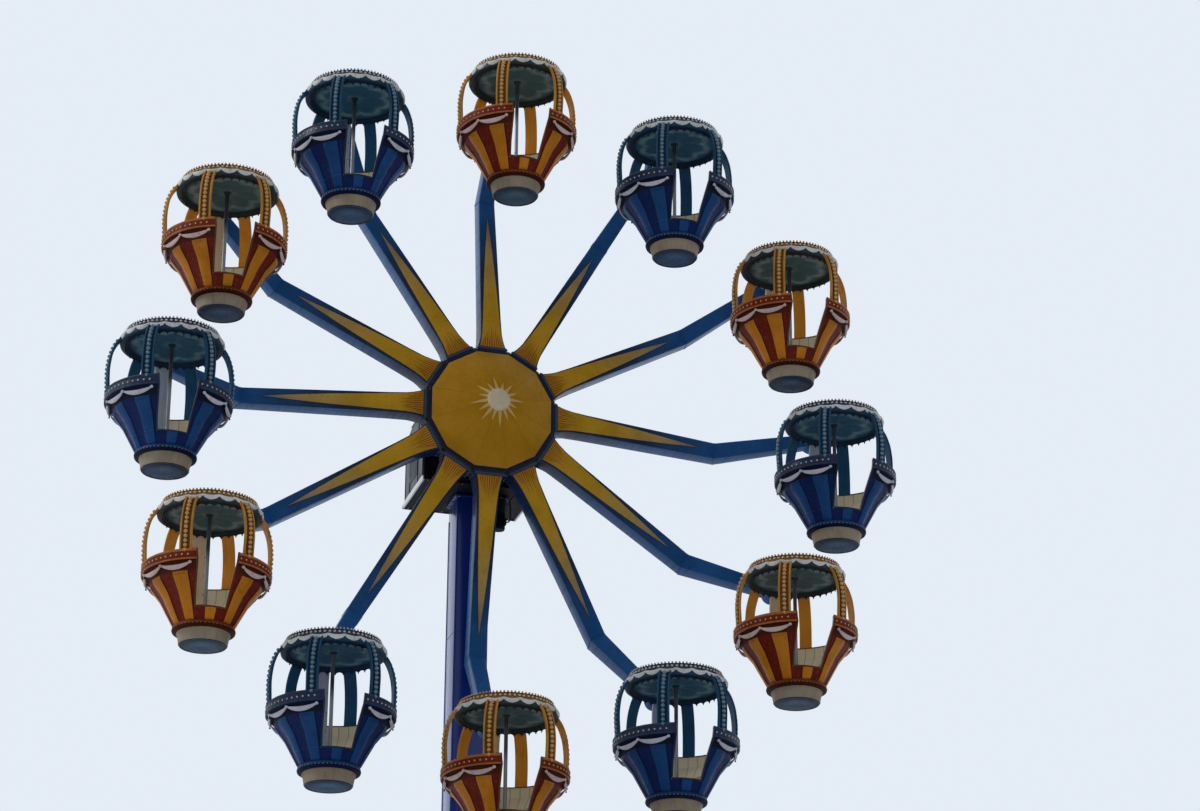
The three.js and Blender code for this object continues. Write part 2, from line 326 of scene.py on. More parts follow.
def bulb(radius, rise, paint="bulb"):
    """Small lamp dome on a flat collar."""
    shape = Shape()
    dome = [(radius * math.cos(a), rise * (0.25 + 0.75 * math.sin(a))) for a in (0, 0.55, 1.05)]
    shape.turned([(0, 0), (radius * 1.15, 0), (radius * 1.15, rise * 0.2), *dome, (0, rise)],
                 ["socket"] * 3 + [paint] * 4, 8)
    return shape


# Materials. A colour of three values is as seen on a screen, 0 to 255, and one of four is linear.

BLACK = (22, 20, 18)             # soot and grease
DUST = (60, 52, 44)


def linear(colour):
    shares = [value / 255 for value in colour]
    return tuple(s / 12.92 if s <= 0.04045 else ((s + 0.055) / 1.055) ** 2.4 for s in shares) + (1.0,)


def scaled(colour, factor):
    return tuple(min(1.0, c * factor) for c in linear(colour)[:3]) + (1.0,)


def bleached(colour):
    """Lighter and greyer tone of a paint, as the sun leaves it."""
    red, green, blue, _ = linear(colour)
    grey = (red + green + blue) / 3
    return tuple(min(1.0, 1.25 * c + 0.15 * grey + 0.004) for c in (red, green, blue)) + (1.0,)


class Finish:
    """Node tree of one material."""

    def __init__(self, name):
        self.material = bpy.data.materials.new(name)
        self.material.use_nodes = True
        self.nodes = self.material.node_tree.nodes
        self.links = self.material.node_tree.links
        self.shader = self.nodes["Principled BSDF"]
        self.own = self.nodes.new("ShaderNodeTexCoord").outputs["Object"]
        number = self.nodes.new("ShaderNodeObjectInfo").outputs["Random"]
        self.place = self.operate("VectorMath", "MULTIPLY_ADD", (number, (31, 17, 23), self.own), "Vector")

    def set(self, socket, value):
        if isinstance(value, bpy.types.NodeSocket):
            self.links.new(value, socket)
        else:
            socket.default_value = value

    def operate(self, kind, operation, values, result):
        node = self.nodes.new("ShaderNode" + kind)
        node.operation = operation
        for socket, value in zip(node.inputs, values):
            self.set(socket, value)
        return node.outputs[result]

    def math(self, operation, *values):
        return self.operate("Math", operation, values, "Value")

    def noise(self, scale, detail=3.0, stretch=None):
        """Noise from 0 to 1. stretch scales it along each axis."""
        node = self.nodes.new("ShaderNodeTexNoise")
        node.inputs["Scale"].default_value = scale
        node.inputs["Detail"].default_value = detail
        place = self.place
        if stretch:
            place = self.operate("VectorMath", "MULTIPLY", (place, stretch), "Vector")
        self.set(node.inputs["Vector"], place)
        return node.outputs["Fac"]

    def step(self, value, low, high, out_low=0.0, out_high=1.0):
        """Smooth change from out_low to out_high as value goes from low to high."""
        node = self.nodes.new("ShaderNodeMapRange")
        node.interpolation_type = "SMOOTHSTEP"
        for socket, number in zip(node.inputs, (value, low, high, out_low, out_high)):
            self.set(socket, number)
        return node.outputs["Result"]

    def mix(self, share, first, second):
        """Blend of two colours. Each is a colour or a socket."""
        node = self.nodes.new("ShaderNodeMix")
        node.data_type = "RGBA"
        self.set(node.inputs["Factor"], share)
        for name, colour in (("A", first), ("B", second)):
            on_screen = isinstance(colour, tuple) and len(colour) == 3
            self.set(node.inputs[name], linear(colour) if on_screen else colour)
        return node.outputs["Result"]

    def axes(self):
        """The piece's own X, Y and Z as three values."""
        node = self.nodes.new("ShaderNodeSeparateXYZ")
        self.links.new(self.own, node.inputs[0])
        return node.outputs

    def around(self):
        """Angle round the piece's own Z axis, in radians."""
        x, y, _ = self.axes()
        return self.math("ARCTAN2", x, y)

    def square(self):
        """Squared distance from the piece's own Z axis."""
        x, y, _ = self.axes()
        return self.math("MULTIPLY_ADD", x, x, self.math("MULTIPLY", y, y))

    def bump(self, height, distance):
        node = self.nodes.new("ShaderNodeBump")
        node.inputs["Strength"].default_value = 1
        node.inputs["Distance"].default_value = distance
        self.links.new(height, node.inputs["Height"])
        before = self.shader.inputs["Normal"]
        if before.is_linked:
            self.links.new(before.links[0].from_socket, node.inputs["Normal"])
        self.links.new(node.outputs["Normal"], before)

    def surface(self, colour, rough, **constants):
        """Sets the shader's colour, roughness and other values."""
        self.set(self.shader.inputs["Base Color"], colour)
        self.set(self.shader.inputs["Roughness"], rough)
        for name, value in constants.items():
            self.shader.inputs[name.replace("_", " ")].default_value = value


# Each of these gives a function that finishes a new material

def satin(colour, rough, fade, grime, dirt=BLACK, shine=0.2, coat=0.0, metal=0.0, base=None):
    """Paint with faded patches, dirt that has run down, fine unevenness and dull spots.
    base(finish) may give the colour before wear."""
    peel = 0.0006

    def make(finish):
        patches = finish.noise(2.3, 4)
        streaks = finish.noise(1.0, 5, stretch=(22, 22, 1.6))
        specks = finish.noise(70, 2)
        plain = base(finish) if base else colour
        worn = finish.mix(finish.step(patches, 0.35, 0.7, 0, fade), plain, bleached(colour))
        shaded = finish.mix(finish.step(patches, 0.62, 0.3, 0, fade), worn, scaled(colour, 0.45))
        run = finish.math("MULTIPLY", finish.step(streaks, 0.5, 0.78), finish.step(specks, 0.2, 0.6, 0.6))
        dull = finish.math("MULTIPLY_ADD", finish.step(streaks, 0.4, 0.8), 0.22, rough)
        finish.surface(finish.mix(finish.math("MULTIPLY", run, grime), shaded, dirt),
                       finish.math("MULTIPLY_ADD", specks, 0.08, dull),
                       Metallic=metal, Coat_Weight=coat, Coat_Roughness=0.15, Specular_IOR_Level=shine)
        finish.bump(finish.noise(140, 2), peel)
        finish.bump(finish.noise(9, 3), peel * 3)
    return make


def glass(colour):
    """Coloured lamp cap: glossy, a little uneven and dusty."""
    def make(finish):
        dust = finish.step(finish.noise(25, 3), 0.35, 0.75, 0, 0.45)
        finish.surface(finish.mix(dust, colour, (150, 140, 122)), finish.math("MULTIPLY_ADD", dust, 0.6, 0.1),
                       Coat_Weight=0.5, Coat_Roughness=0.05)
        finish.bump(finish.noise(220, 1), 0.0004)
    return make


def bare_metal(colour, rough):
    """Zinc-coated or machined metal with scratches and blotches."""
    def make(finish):
        blotches = finish.noise(14, 4)
        scratches = finish.noise(6, 2, stretch=(1, 1, 40))
        finish.surface(finish.mix(finish.step(blotches, 0.3, 0.7), scaled(colour, 0.6), colour),
                       finish.step(scratches, 0.3, 0.7, rough, rough + 0.22), Metallic=0.85)
        finish.bump(scratches, 0.0004)
    return make


def tread(colour):
    """Rubber floor with small round studs."""
    def make(finish):
        cells = finish.nodes.new("ShaderNodeTexVoronoi")
        cells.inputs["Scale"].default_value = 28
        cells.inputs["Randomness"].default_value = 0
        finish.links.new(finish.own, cells.inputs["Vector"])
        stud = finish.step(cells.outputs["Distance"], 0.34, 0.26)
        dust = finish.step(finish.noise(5, 4), 0.35, 0.7, 0.1, 0.6)
        finish.surface(finish.mix(dust, finish.mix(stud, colour, scaled(colour, 1.7)), (120, 110, 96)),
                       finish.math("MULTIPLY_ADD", dust, 0.3, 0.55))
        finish.bump(stud, 0.003)
    return make


# Bases: the colour before wear

def gradient(axis, low, high, first, second):
    """Colour that changes along one of the piece's own axes."""
    return lambda finish: finish.mix(finish.step(finish.axes()[axis], low, high), first, second)


def boards(first, second, count):
    """Vertical boards round the axis, each a little different, with dark joints."""
    def base(finish):
        turn = finish.math("MULTIPLY_ADD", finish.around(), count / TURN, count)
        wave = finish.math("SINE", finish.math("MULTIPLY", finish.math("FLOOR", turn), 12.9))
        tone = finish.math("FRACT", finish.math("MULTIPLY", wave, 43.7))
        joint = finish.math("ABSOLUTE", finish.math("SUBTRACT", finish.math("FRACT", turn), 0.5))
        board = finish.mix(tone, first, second)
        return finish.mix(finish.step(joint, 0.44, 0.49, 0, 0.8), board, scaled(first, 0.3))
    return base


def rosette(ground, lobe, shade):
    """Wide soft ring of lobes on a mottled ground, with painted shade towards its edge."""
    def base(finish):
        radius = finish.math("SQRT", finish.square())
        wave = finish.math("ABSOLUTE", finish.math("COSINE", finish.math("MULTIPLY", finish.around(), 4)))
        offset = finish.math("SUBTRACT", radius, finish.math("MULTIPLY_ADD", wave, 0.1, 0.46))
        ring = finish.step(finish.math("ABSOLUTE", offset), 0.0, 0.105, 0.85, 0.0)
        heart = finish.step(radius, 0.06, 0.2, 0.35, 0.0)
        worn = finish.step(finish.noise(7, 4), 0.3, 0.7, 0.35)
        share = finish.math("MULTIPLY", finish.math("MAXIMUM", ring, heart), worn)
        # The ground darkens past 0.6 m: painted shade in the gap round the ceiling's edge
        return finish.mix(finish.step(radius, 0.6, 0.66), finish.mix(share, ground, lobe), shade)
    return base


def field(middle, edge):
    """Round field that darkens from its middle towards its edge: a painted highlight in its middle."""
    return lambda finish: finish.mix(finish.step(finish.square(), 0.0, 0.12), middle, edge)


def brushed(colour, streak):
    """Fine streaks that run up the tub, as on hand-finished mouldings."""
    def base(finish):
        lines = finish.noise(1.0, 4, stretch=(34, 34, 2.2))
        return finish.mix(finish.step(lines, 0.52, 0.74, 0, 0.75), colour, streak)
    return base


def panel_base(finish):
    """Ochre near the hub that turns through olive to grey towards the panel's tip."""
    out = finish.axes()[1]
    low = finish.mix(finish.step(out, 1.0, 1.7), (170, 112, 10), (192, 146, 20))
    middle = finish.mix(finish.step(out, 1.9, 3.0), low, (178, 148, 84))
    return finish.mix(finish.step(out, 2.8, 3.7), middle, (112, 120, 122))


def palette(prefix, makers):
    """Materials by the name of the paint."""
    materials = {}
    for key, make in makers.items():
        finish = Finish(f"{prefix}_{key}")
        make(finish)
        materials[key] = finish.material
    return materials


# A paint's numbers are its roughness, fading and grime, then its dirt's colour, shine and clear coat

COMMON = palette("plain", {
    "bolt": bare_metal((176, 178, 182), 0.38),
    "steel": bare_metal((140, 144, 150), 0.3),
    # Arm faces: dark navy near the hub turning to bright blue further out, as painted shade from the hub and
    # housing
    "arm": satin((30, 78, 128), 0.45, 0.2, 0.3, BLACK, 0.15,
                 base=gradient(1, 2.4, 4.2, (24, 38, 62), (22, 86, 146))),
    # Arm flanks: darker near the hub, as painted shade from the hub and housing
    "arm_side": satin((22, 80, 134), 0.4, 0.15, 0.3, BLACK, 0.12, 0.35,
                      base=gradient(1, 1.1, 2.7, (12, 34, 74), (20, 86, 142))),
    "arm_edge": satin((30, 44, 66), 0.45, 0.2, 0.2, BLACK, 0.12),
    # Grey-blue strip at each arm's root: painted light that stands for the drum's side face lit from below
    "root_band": satin((56, 64, 86), 0.45, 0.2, 0.35),
    "panel": satin((176, 124, 12), 0.45, 0.25, 0.25, (78, 48, 10), 0.12, base=panel_base),
    "streak": satin((108, 42, 8), 0.42, 0.15, 0.3, DUST),
    "drum": satin((26, 32, 44), 0.38, 0.2, 0.3, coat=0.1),
    "rim": satin((44, 40, 44), 0.5, 0.3, 0.35, BLACK, 0.1),
    "pale": satin((156, 120, 70), 0.5, 0.3, 0.4, DUST),
    "sun": satin((214, 198, 166), 0.45, 0.2, 0.35, (130, 96, 40)),
    "ray": satin((206, 172, 100), 0.45, 0.2, 0.25, (150, 110, 36)),
    "cap": satin((176, 124, 6), 0.42, 0.2, 0.25, (104, 68, 12), 0.12),
    "column": satin((4, 44, 132), 0.24, 0.15, 0.3, coat=0.9),
    "trim_white": satin((236, 236, 240), 0.45, 0.1, 0.2, (120, 118, 114), coat=0.2),
    "white": satin((118, 120, 126), 0.55, 0.15, 0.45, (60, 58, 54), 0.1),
    "grille": satin((110, 114, 122), 0.5, 0.3, 0.4, DUST, metal=0.2),
    # Near-black plates that stand for the shade in the grille's recess and in gaps between panels: painted
    # shade
    "void": satin((9, 10, 13), 0.8, 0.1, 0.3, (30, 28, 26), 0.05),
    # Near-black: on the machine floor's underside and the housing's front it is painted shade
    "machine": satin((14, 16, 24), 0.55, 0.1, 0.4, (12, 10, 9), metal=0.1),
    "rubber": satin((26, 26, 28), 0.6, 0.1, 0.3, DUST),
    "cream": satin((152, 136, 114), 0.5, 0.25, 0.45, (96, 78, 56)),
    "silver": satin((216, 214, 210), 0.4, 0.25, 0.4, (96, 90, 84), metal=0.1),
    "lining": satin((250, 238, 204), 0.5, 0.05, 0.12, (190, 160, 110),
                    base=boards((254, 246, 222), (246, 232, 198), 36)),
    "bench": satin((224, 200, 152), 0.42, 0.1, 0.3, DUST),
    "jamb": satin((166, 152, 134), 0.5, 0.1, 0.4, DUST),
    # Centre pole: light below and dark above, a painted reflection of the bright sky below the canopy and the
    # dark ceiling above
    "pole": satin((120, 124, 130), 0.24, 0.2, 0.2, metal=0.9,
                  base=gradient(2, 1.25, 1.6, (150, 154, 160), (34, 42, 46))),
    "tread": tread((44, 44, 48)),
})
ORANGE = COMMON | palette("orange", {
    "gore": satin((190, 112, 6), 0.36, 0.25, 0.3, (104, 46, 6), 0.12, 0.06,
                  base=gradient(2, 0.3, 1.0, (198, 118, 4), (184, 114, 8))),
    "flute": satin((104, 22, 4), 0.42, 0.2, 0.25, (40, 10, 4), 0.12,
                   base=brushed((104, 22, 4), (150, 62, 14))),
    # Dark lines at the gores' edges and under the ring; in the cove just under the rail it is painted shade
    "outline": satin((58, 16, 4), 0.5, 0.2, 0.2, BLACK, 0.1),
    "ring": satin((116, 52, 16), 0.42, 0.3, 0.35, (44, 20, 8), 0.12),
    # Underside disc: lighter in the middle, a painted highlight on the dished underside
    "disc": satin((34, 52, 72), 0.45, 0.2, 0.35, base=field((58, 88, 112), (32, 50, 70))),
    "door": satin((96, 54, 26), 0.42, 0.25, 0.35),
    "band": satin((110, 36, 12), 0.42, 0.25, 0.3, (30, 10, 6), 0.12),
    "rail_edge": satin((176, 98, 42), 0.38, 0.3, 0.4, (60, 24, 10)),
    # Dark cove under the rail: painted shade under the rail's overhang; the tassels share this colour
    "cornice": satin((80, 30, 12), 0.5, 0.25, 0.3, (30, 12, 6), 0.1),
    "swag": satin((204, 180, 174), 0.45, 0.2, 0.4, (110, 70, 50)),
    "gold": satin((138, 90, 40), 0.38, 0.3, 0.4, (54, 30, 12), metal=0.2),
    "bead": satin((150, 104, 54), 0.34, 0.3, 0.3, DUST, metal=0.2),
    "post": satin((236, 208, 172), 0.5, 0.15, 0.3, (128, 100, 76)),
    "rib": satin((186, 128, 48), 0.4, 0.3, 0.35, (84, 50, 16), 0.12),
    # Inner faces of the ribs: brighter than their outside, as painted light
    "rib_back": satin((240, 156, 44), 0.42, 0.15, 0.3, (120, 70, 20)),
    "rib_edge": satin((192, 138, 60), 0.42, 0.3, 0.35, (90, 56, 20), 0.12),
    # Rib channel: brown, darkened as painted shade between the lamps
    "groove": satin((110, 70, 30), 0.55, 0.2, 0.4, (40, 24, 10), 0.1),
    # Fascia: orange-gold band darkened to brown as painted shade
    "fascia": satin((140, 98, 50), 0.42, 0.3, 0.45, (54, 34, 18), metal=0.1),
    # Rim's lower face: dark as painted shade under the fascia
    "ledge": satin((44, 58, 60), 0.45, 0.1, 0.4),
    # Valance drips, and the ceiling's edge and the rim's underside, where this dark is painted shade
    "valance": satin((46, 50, 50), 0.5, 0.2, 0.3),
    "ceiling": satin((44, 86, 92), 0.5, 0.1, 0.1, BLACK, 0.1,
                     base=rosette((66, 92, 94), (140, 152, 150), (30, 46, 50))),
    "roof": satin((170, 104, 24), 0.4, 0.3, 0.4, (70, 44, 24), coat=0.1),
    "socket": satin((84, 46, 18), 0.5, 0.3, 0.3, DUST),
    "bulb": glass((212, 154, 66)),
    "rib_lamp": glass((210, 154, 72)),
    "pearl": glass((226, 196, 140)),
})
BLUE = COMMON | palette("blue", {
    "gore": satin((6, 66, 122), 0.36, 0.2, 0.3, (8, 16, 34), 0.12, 0.06,
                  base=gradient(2, 0.3, 1.0, (4, 64, 122), (10, 66, 116))),
    "flute": satin((2, 28, 82), 0.42, 0.15, 0.2, (4, 8, 24), 0.12,
                   base=brushed((2, 28, 82), (8, 50, 110))),
    # Dark lines at the gores' edges and under the ring; in the cove just under the rail it is painted shade
    "outline": satin((2, 16, 52), 0.5, 0.2, 0.2, BLACK, 0.1),
    "ring": satin((26, 64, 108), 0.42, 0.25, 0.3, BLACK, 0.12),
    # Underside disc: lighter in the middle, a painted highlight on the dished underside
    "disc": satin((24, 48, 80), 0.45, 0.2, 0.35, base=field((52, 88, 122), (22, 44, 76))),
    "door": satin((28, 42, 68), 0.42, 0.25, 0.3),
    "band": satin((28, 42, 72), 0.4, 0.25, 0.3, coat=0.1),
    "rail_edge": satin((40, 56, 84), 0.4, 0.25, 0.4),
    # Dark cove under the rail: painted shade under the rail's overhang; the tassels share this colour
    "cornice": satin((16, 24, 46), 0.5, 0.2, 0.3, (8, 8, 14), 0.1),
    "swag": satin((194, 192, 204), 0.45, 0.2, 0.4, (80, 76, 84)),
    "gold": satin((74, 76, 82), 0.4, 0.3, 0.4, metal=0.2),
    "bead": satin((120, 124, 130), 0.3, 0.3, 0.3, DUST, metal=0.2),
    "post": satin((180, 190, 208), 0.45, 0.1, 0.3, (86, 88, 94)),
    "rib": satin((24, 68, 98), 0.4, 0.2, 0.3, BLACK, 0.12),
    # Inner faces of the ribs: brighter than their outside, as painted light
    "rib_back": satin((22, 84, 124), 0.42, 0.15, 0.25),
    "rib_edge": satin((32, 80, 110), 0.42, 0.25, 0.3, BLACK, 0.12),
    # Rib channel: darkened as painted shade between the lamps
    "groove": satin((20, 48, 70), 0.55, 0.2, 0.35, BLACK, 0.1),
    "fascia": satin((52, 60, 76), 0.42, 0.3, 0.4, metal=0.1),
    # Rim's lower face: dark as painted shade under the fascia
    "ledge": satin((22, 60, 84), 0.45, 0.1, 0.3),
    # Valance drips, and the ceiling's edge and the rim's underside, where this dark is painted shade
    "valance": satin((18, 44, 72), 0.5, 0.08, 0.3, DUST),
    "ceiling": satin((30, 72, 102), 0.5, 0.1, 0.1, BLACK, 0.1,
                     base=rosette((38, 84, 112), (122, 156, 160), (14, 42, 70))),
    "roof": satin((28, 70, 124), 0.36, 0.3, 0.4, (60, 62, 62), coat=0.2),
    "socket": satin((26, 34, 52), 0.5, 0.3, 0.3, DUST),
    "bulb": glass((172, 180, 184)),
    "rib_lamp": glass((72, 122, 150)),
    "pearl": glass((196, 198, 202)),
})


# Gondola

def door_gap(radius, height):
    """Half the angle that the doorway takes at a point of the tub."""
    share = min(max((height - SILL_LEVEL) / (RAIL_LEVEL - SILL_LEVEL), 0), 1)
    return math.asin(min(0.99, between(DOOR_SILL_HALF, DOOR_TOP_HALF, share) / radius))


def footwell_gap(radius, height):
    """Half the angle that the way in takes from the bench, the same at each height."""
    return math.asin(min(0.99, DOOR_TOP_HALF / radius))


def cone_radius(height):
    """Radius of the tub's skin between its gores."""
    foot, knee, top = CONE
    low, high = (foot, knee) if height < knee[1] else (knee, top)
    return between(low[0], high[0], (height - low[1]) / (high[1] - low[1]))


def off_gore(angle):
    """Angle from the middle of the nearest gore."""
    return min(abs((angle - middle + math.pi) % TURN - math.pi) for middle in GORE_MIDDLES)


def gore_columns():
    """Angles of the mesh columns, closest at the gores' edges."""
    sides = [-1.45, -1.06, -0.92, -0.5, 0, 0.5, 0.92, 1.06, 1.45]
    columns = [middle + side * GORE_HALF for middle in GORE_MIDDLES for side in sides]
    columns += [(a + b) / 2 for a, b in zip(GORE_MIDDLES, GORE_MIDDLES[1:] + [TURN])]
    return sorted(column % TURN for column in columns)


def gore_relief(angle):
    """How far the tub's skin stands out: crowned gores with hollow flutes between them."""
    away = off_gore(angle)
    if away < GORE_HALF:
        return 0.008 + 0.012 * math.cos(away / GORE_HALF * math.pi / 2)
    across = min(1, (away - GORE_HALF) / FLUTE_HALF)
    return -0.008 * math.sin(across * math.pi / 2)


def crowned(shares):
    """Relief of the gores, at its share for each point of a profile."""
    return lambda row, angle: (shares[row] * gore_relief(angle), 0)


def gondola_tub():
    tub = Shape()
    tub.turned([(0, 0.004), (0.1, 0.004), (0.115, 0), (0.29, 0), (0.305, 0.006), (0.335, 0.006),
                (DISC_RADIUS - 0.005, 0.001), (DISC_RADIUS, 0.012), (DISC_RADIUS, 0.05), (0, 0.05)],
               "disc", 64)
    tub.turned([(0.33, 0.014), (0.362, 0.014), (0.37, 0.022), (0.368, 0.034), (0.392, 0.16), (0.402, 0.168),
                (0.404, 0.188), (0.34, 0.196)], "cream")
    tub.turned([(0.39, 0.188), (0.452, 0.194), (0.471, 0.206), (0.476, 0.222), (0.467, 0.232), (0.475, 0.244),
                (0.471, 0.264), (0.456, 0.28), (0.44, 0.29), (0.39, 0.29)],
               ["outline"] * 4 + ["ring"] * 6)
    tub.ring(bulb(0.011, 0.012, "bead"), 0.468, 0.233, spread(48))

    columns = gore_columns()
    tones = []
    for a, b in zip(columns, columns[1:] + columns[-1:]):
        away = off_gore((a + b) / 2) / GORE_HALF
        tones.append("gore" if away < 0.93 else "outline" if away < 1.05 else "flute")
    foot = [(0.44, 0.287)] + [(cone_radius(h), h) for h in (0.31, 0.36, 0.41, SILL_LEVEL)]
    profile = foot + [(cone_radius(SILL_LEVEL) - SHELL, SILL_LEVEL), (0.41, 0.287)]
    tub.turned(profile, lambda side, column: tones[column] if side < 4 else "flute", columns,
               relief=crowned([0, 1, 1, 1, 1, 0, 0]))

    seam = SILL_LEVEL + 0.0003
    skin = [(cone_radius(h), h) for h in (seam, 0.56, 0.68, 0.78, 0.868)]
    cove = [(0.822, 0.886), (0.84, 0.915), (0.866, 0.955), (0.896, 0.995), (0.928, 1.028), (0.956, 1.046),
            (0.958, RAIL_LEVEL)]
    coping = [(0.96, 1.204), (0.948, 1.22), (0.918, 1.22), (0.9, 1.204)]
    inside = [(0.898, RAIL_LEVEL), (0.898, 1.03), (0.842, 0.965), (0.64, BENCH_LEVEL),
              (cone_radius(seam) - SHELL, seam)]
    profile = skin + cove + coping + inside

    def paint(side, column):
        if side < len(skin) + 1:
            return tones[column]
        # The cove under the rail is painted dark as painted shade under the rail's overhang: dark lower down,
        # nearly black just under the rail
        if side < len(skin) + len(cove):
            return "cornice" if side < len(skin) + 4 else "outline"
        return "gold" if side < len(skin) + len(cove) + len(coping) - 1 else "lining"

    tub.turned(profile, paint, columns, opening=door_gap,
               relief=crowned([1] * len(skin) + [0] * (len(profile) - len(skin))))

    tub.turned([(0, 0.26), (0.43, 0.26), (0.435, FLOOR_LEVEL), (0, FLOOR_LEVEL)], "tread", 64)

    seat = [(BENCH_RADIUS, FLOOR_LEVEL), (BENCH_RADIUS, 0.69), (0.425, 0.705), (0.432, BENCH_LEVEL),
            (0.46, BENCH_LEVEL), (0.52, 0.712), (0.58, 0.708), (0.63, BENCH_LEVEL), (0.64, 0.728),
            (0.446, 0.35)]
    seats = 5

    def dished(row, angle):
        if row not in (5, 6):
            return 0, 0
        return 0, -0.016 * math.sin(seats * angle / 2) ** 2

    tub.turned(seat, "bench", 80, opening=footwell_gap, relief=dished)
    tub.turned([(0.632, 0.728), (0.826, 0.968), (0.884, 1.034), (0.886, 1.194), (0.9, 1.194), (0.9, 1.02),
                (0.845, 0.96), (0.645, 0.722)], "lining", 96, opening=door_gap)
    tub.collar(0.878, 0.904, 1.194, 1.21, "gold", 96, opening=door_gap)
    return tub


def skin_radius(height):
    """Outermost radius of the tub at a height, up to its rail."""
    if height < 0.88:
        return cone_radius(height) + 0.012
    return between(cone_radius(0.88) + 0.012, RAIL_RADIUS, min(1, (height - 0.88) / 0.17))


def door_trim():
    """Raised edging up both sides of the doorway and along its sill."""
    trim = Shape()
    section = soft_rectangle(0.014, 0.009, 0.005, 1)
    for side in (-1, 1):
        path = []
        outs = []
        for height in (1.213, 1.12, 1.05, 0.97, 0.88, 0.78, 0.68, 0.56, 0.49, SILL_LEVEL + 0.005):
            radius = skin_radius(height)
            angle = side * door_gap(radius, height)
            path.append(polar(radius, angle, height))
            outs.append(polar(1, angle, -0.5).normalized())
        trim.sweep(path, outs, section, "door")
        jamb = [p + Vector((-side * 0.004, 0.032, 0)) for p in path]
        trim.sweep(jamb, Vector((-side, 0, 0)), soft_rectangle(0.026, 0.006, 0.003, 1), "jamb")
    radius = skin_radius(SILL_LEVEL)
    half = door_gap(radius, SILL_LEVEL)
    angles = [between(-half, half, i / 12) for i in range(13)]
    trim.sweep([polar(radius, a, SILL_LEVEL + 0.004) for a in angles],
               [polar(1, a, -0.5).normalized() for a in angles], section, "door")
    trim.sweep([polar(radius - 0.028, a, SILL_LEVEL + 0.006) for a in angles], Vector((0, 0, 1)),
               soft_rectangle(0.026, 0.005, 0.003, 1), "jamb")
    return trim


def crescent(shape, spots, fall, tall, thick, paint):
    """Hanging garland between two (radius, angle, height) ends. fall is (inwards, down) at its middle,
    and tall and thick are the half sizes (at its ends, at its middle)."""
    (r0, a0, z0), (r1, a1, z1) = spots
    steps = 14
    shares = [i / steps for i in range(steps + 1)]
    full = [math.sin(math.pi * s) ** 0.7 for s in shares]
    turns = [between(a0, a1, s) for s in shares]
    path = [polar(between(r0, r1, s) - fall[0] * f, a, between(z0, z1, s) - fall[1] * f)
            for s, a, f in zip(shares, turns, full)]
    outs = [polar(1, a, -0.4).normalized() for a in turns]
    shape.sweep(path, outs, lambda i: round_section(between(*tall, full[i]), between(*thick, full[i])), paint)


def rail_and_swags():
    """Lamp rail round the top of the tub, and the garland below it."""
    rail = Shape()
    rail.turned([(0.945, 1.046), (0.968, 1.047), (0.977, 1.055), (0.976, 1.065), (0.968, 1.071),
                 (0.97, 1.12), (0.968, 1.17), (0.976, 1.176), (0.98, 1.19), (0.972, 1.203), (0.945, 1.205)],
                ["rail_edge"] * 4 + ["band"] * 2 + ["rail_edge"] * 5, 120, opening=door_gap)
    gap = door_gap(RAIL_RADIUS, RAIL_LEVEL) + 0.04
    rail.ring(bulb(0.016, 0.018), 0.968, 1.12, spread(58, gap, TURN - gap))

    span = (TURN - 2 * DOOR_SWAG_ANGLE) / SWAGS
    knot = Shape()
    knot.turned([(0, -0.026), (0.014, -0.022), (0.026, -0.004), (0.026, 0.008), (0.014, 0.022), (0, 0.026)],
                "swag", 8)
    tassel = Shape()
    tassel.turned([(0, 0), (0.007, -0.002), (0.01, -0.01), (0.008, -0.014), (0.015, -0.04), (0, -0.044)],
                  "cornice", 8)
    angles = [DOOR_SWAG_ANGLE + i * span for i in range(SWAGS + 1)]
    for angle in angles:
        rail.put(knot, [Matrix.Translation(polar(0.944, angle, 1.006))])
        rail.put(tassel, [Matrix.Translation(polar(0.94, angle, 0.986))])
    for ends in zip(angles, angles[1:]):
        crescent(rail, [(0.94, a, 1.016) for a in ends], (0.026, 0.064), (0.008, 0.037), (0.007, 0.019),
                 "swag")
    return rail


RIB_CURVE = [(0.946, 1.196), (0.949, 1.24), (0.951, 1.3), (0.957, 1.42), (0.958, 1.54), (0.946, 1.68),
             (0.921, 1.82), (0.862, 1.98), (0.787, 2.095)]


def gondola_ribs():
    """Six slim curved ribs that stand on the rail, with a lamp channel on the outside."""
    path = smooth_path([polar(r, 0, z) for r, z in RIB_CURVE], 3)
    outs = outs_of(path)
    wide, deep, lip = 0.096, 0.024, 0.03
    left = [(-wide, -deep), (-wide, 0.004), (-wide + 0.007, 0.012), (-wide + lip - 0.007, 0.012),
            (-wide + lip, 0.004), (-wide + lip + 0.006, -0.004)]
    right = [(-side, out) for side, out in reversed(left)]
    # The lips' inner slopes and the channel between them are darker: painted shade between the lamps
    flank = ["rib", "rib", "rib_edge", "rib", "groove"]
    rib = Shape()
    rib.sweep(path, outs, left + right, flank + ["groove"] + flank[::-1] + ["rib_back"])
    lamp = bulb(0.034, 0.052, "rib_lamp")
    spacing = 0.072
    run = 0.0
    for i in range(1, len(path)):
        step = (path[i] - path[i - 1]).length
        while run < step:
            spot = path[i - 1].lerp(path[i], run / step)
            rib.put(lamp, [facing(spot - outs[i] * 0.005, outs[i])])
            run += spacing
        run -= step
    rib.block((-0.11, -0.966, 1.186), (0.11, -0.912, 1.212), "rib_edge", 0.005)
    ribs = Shape()
    ribs.put(rib, [turned_by(math.pi / RIBS + a) for a in spread(RIBS)])
    return ribs


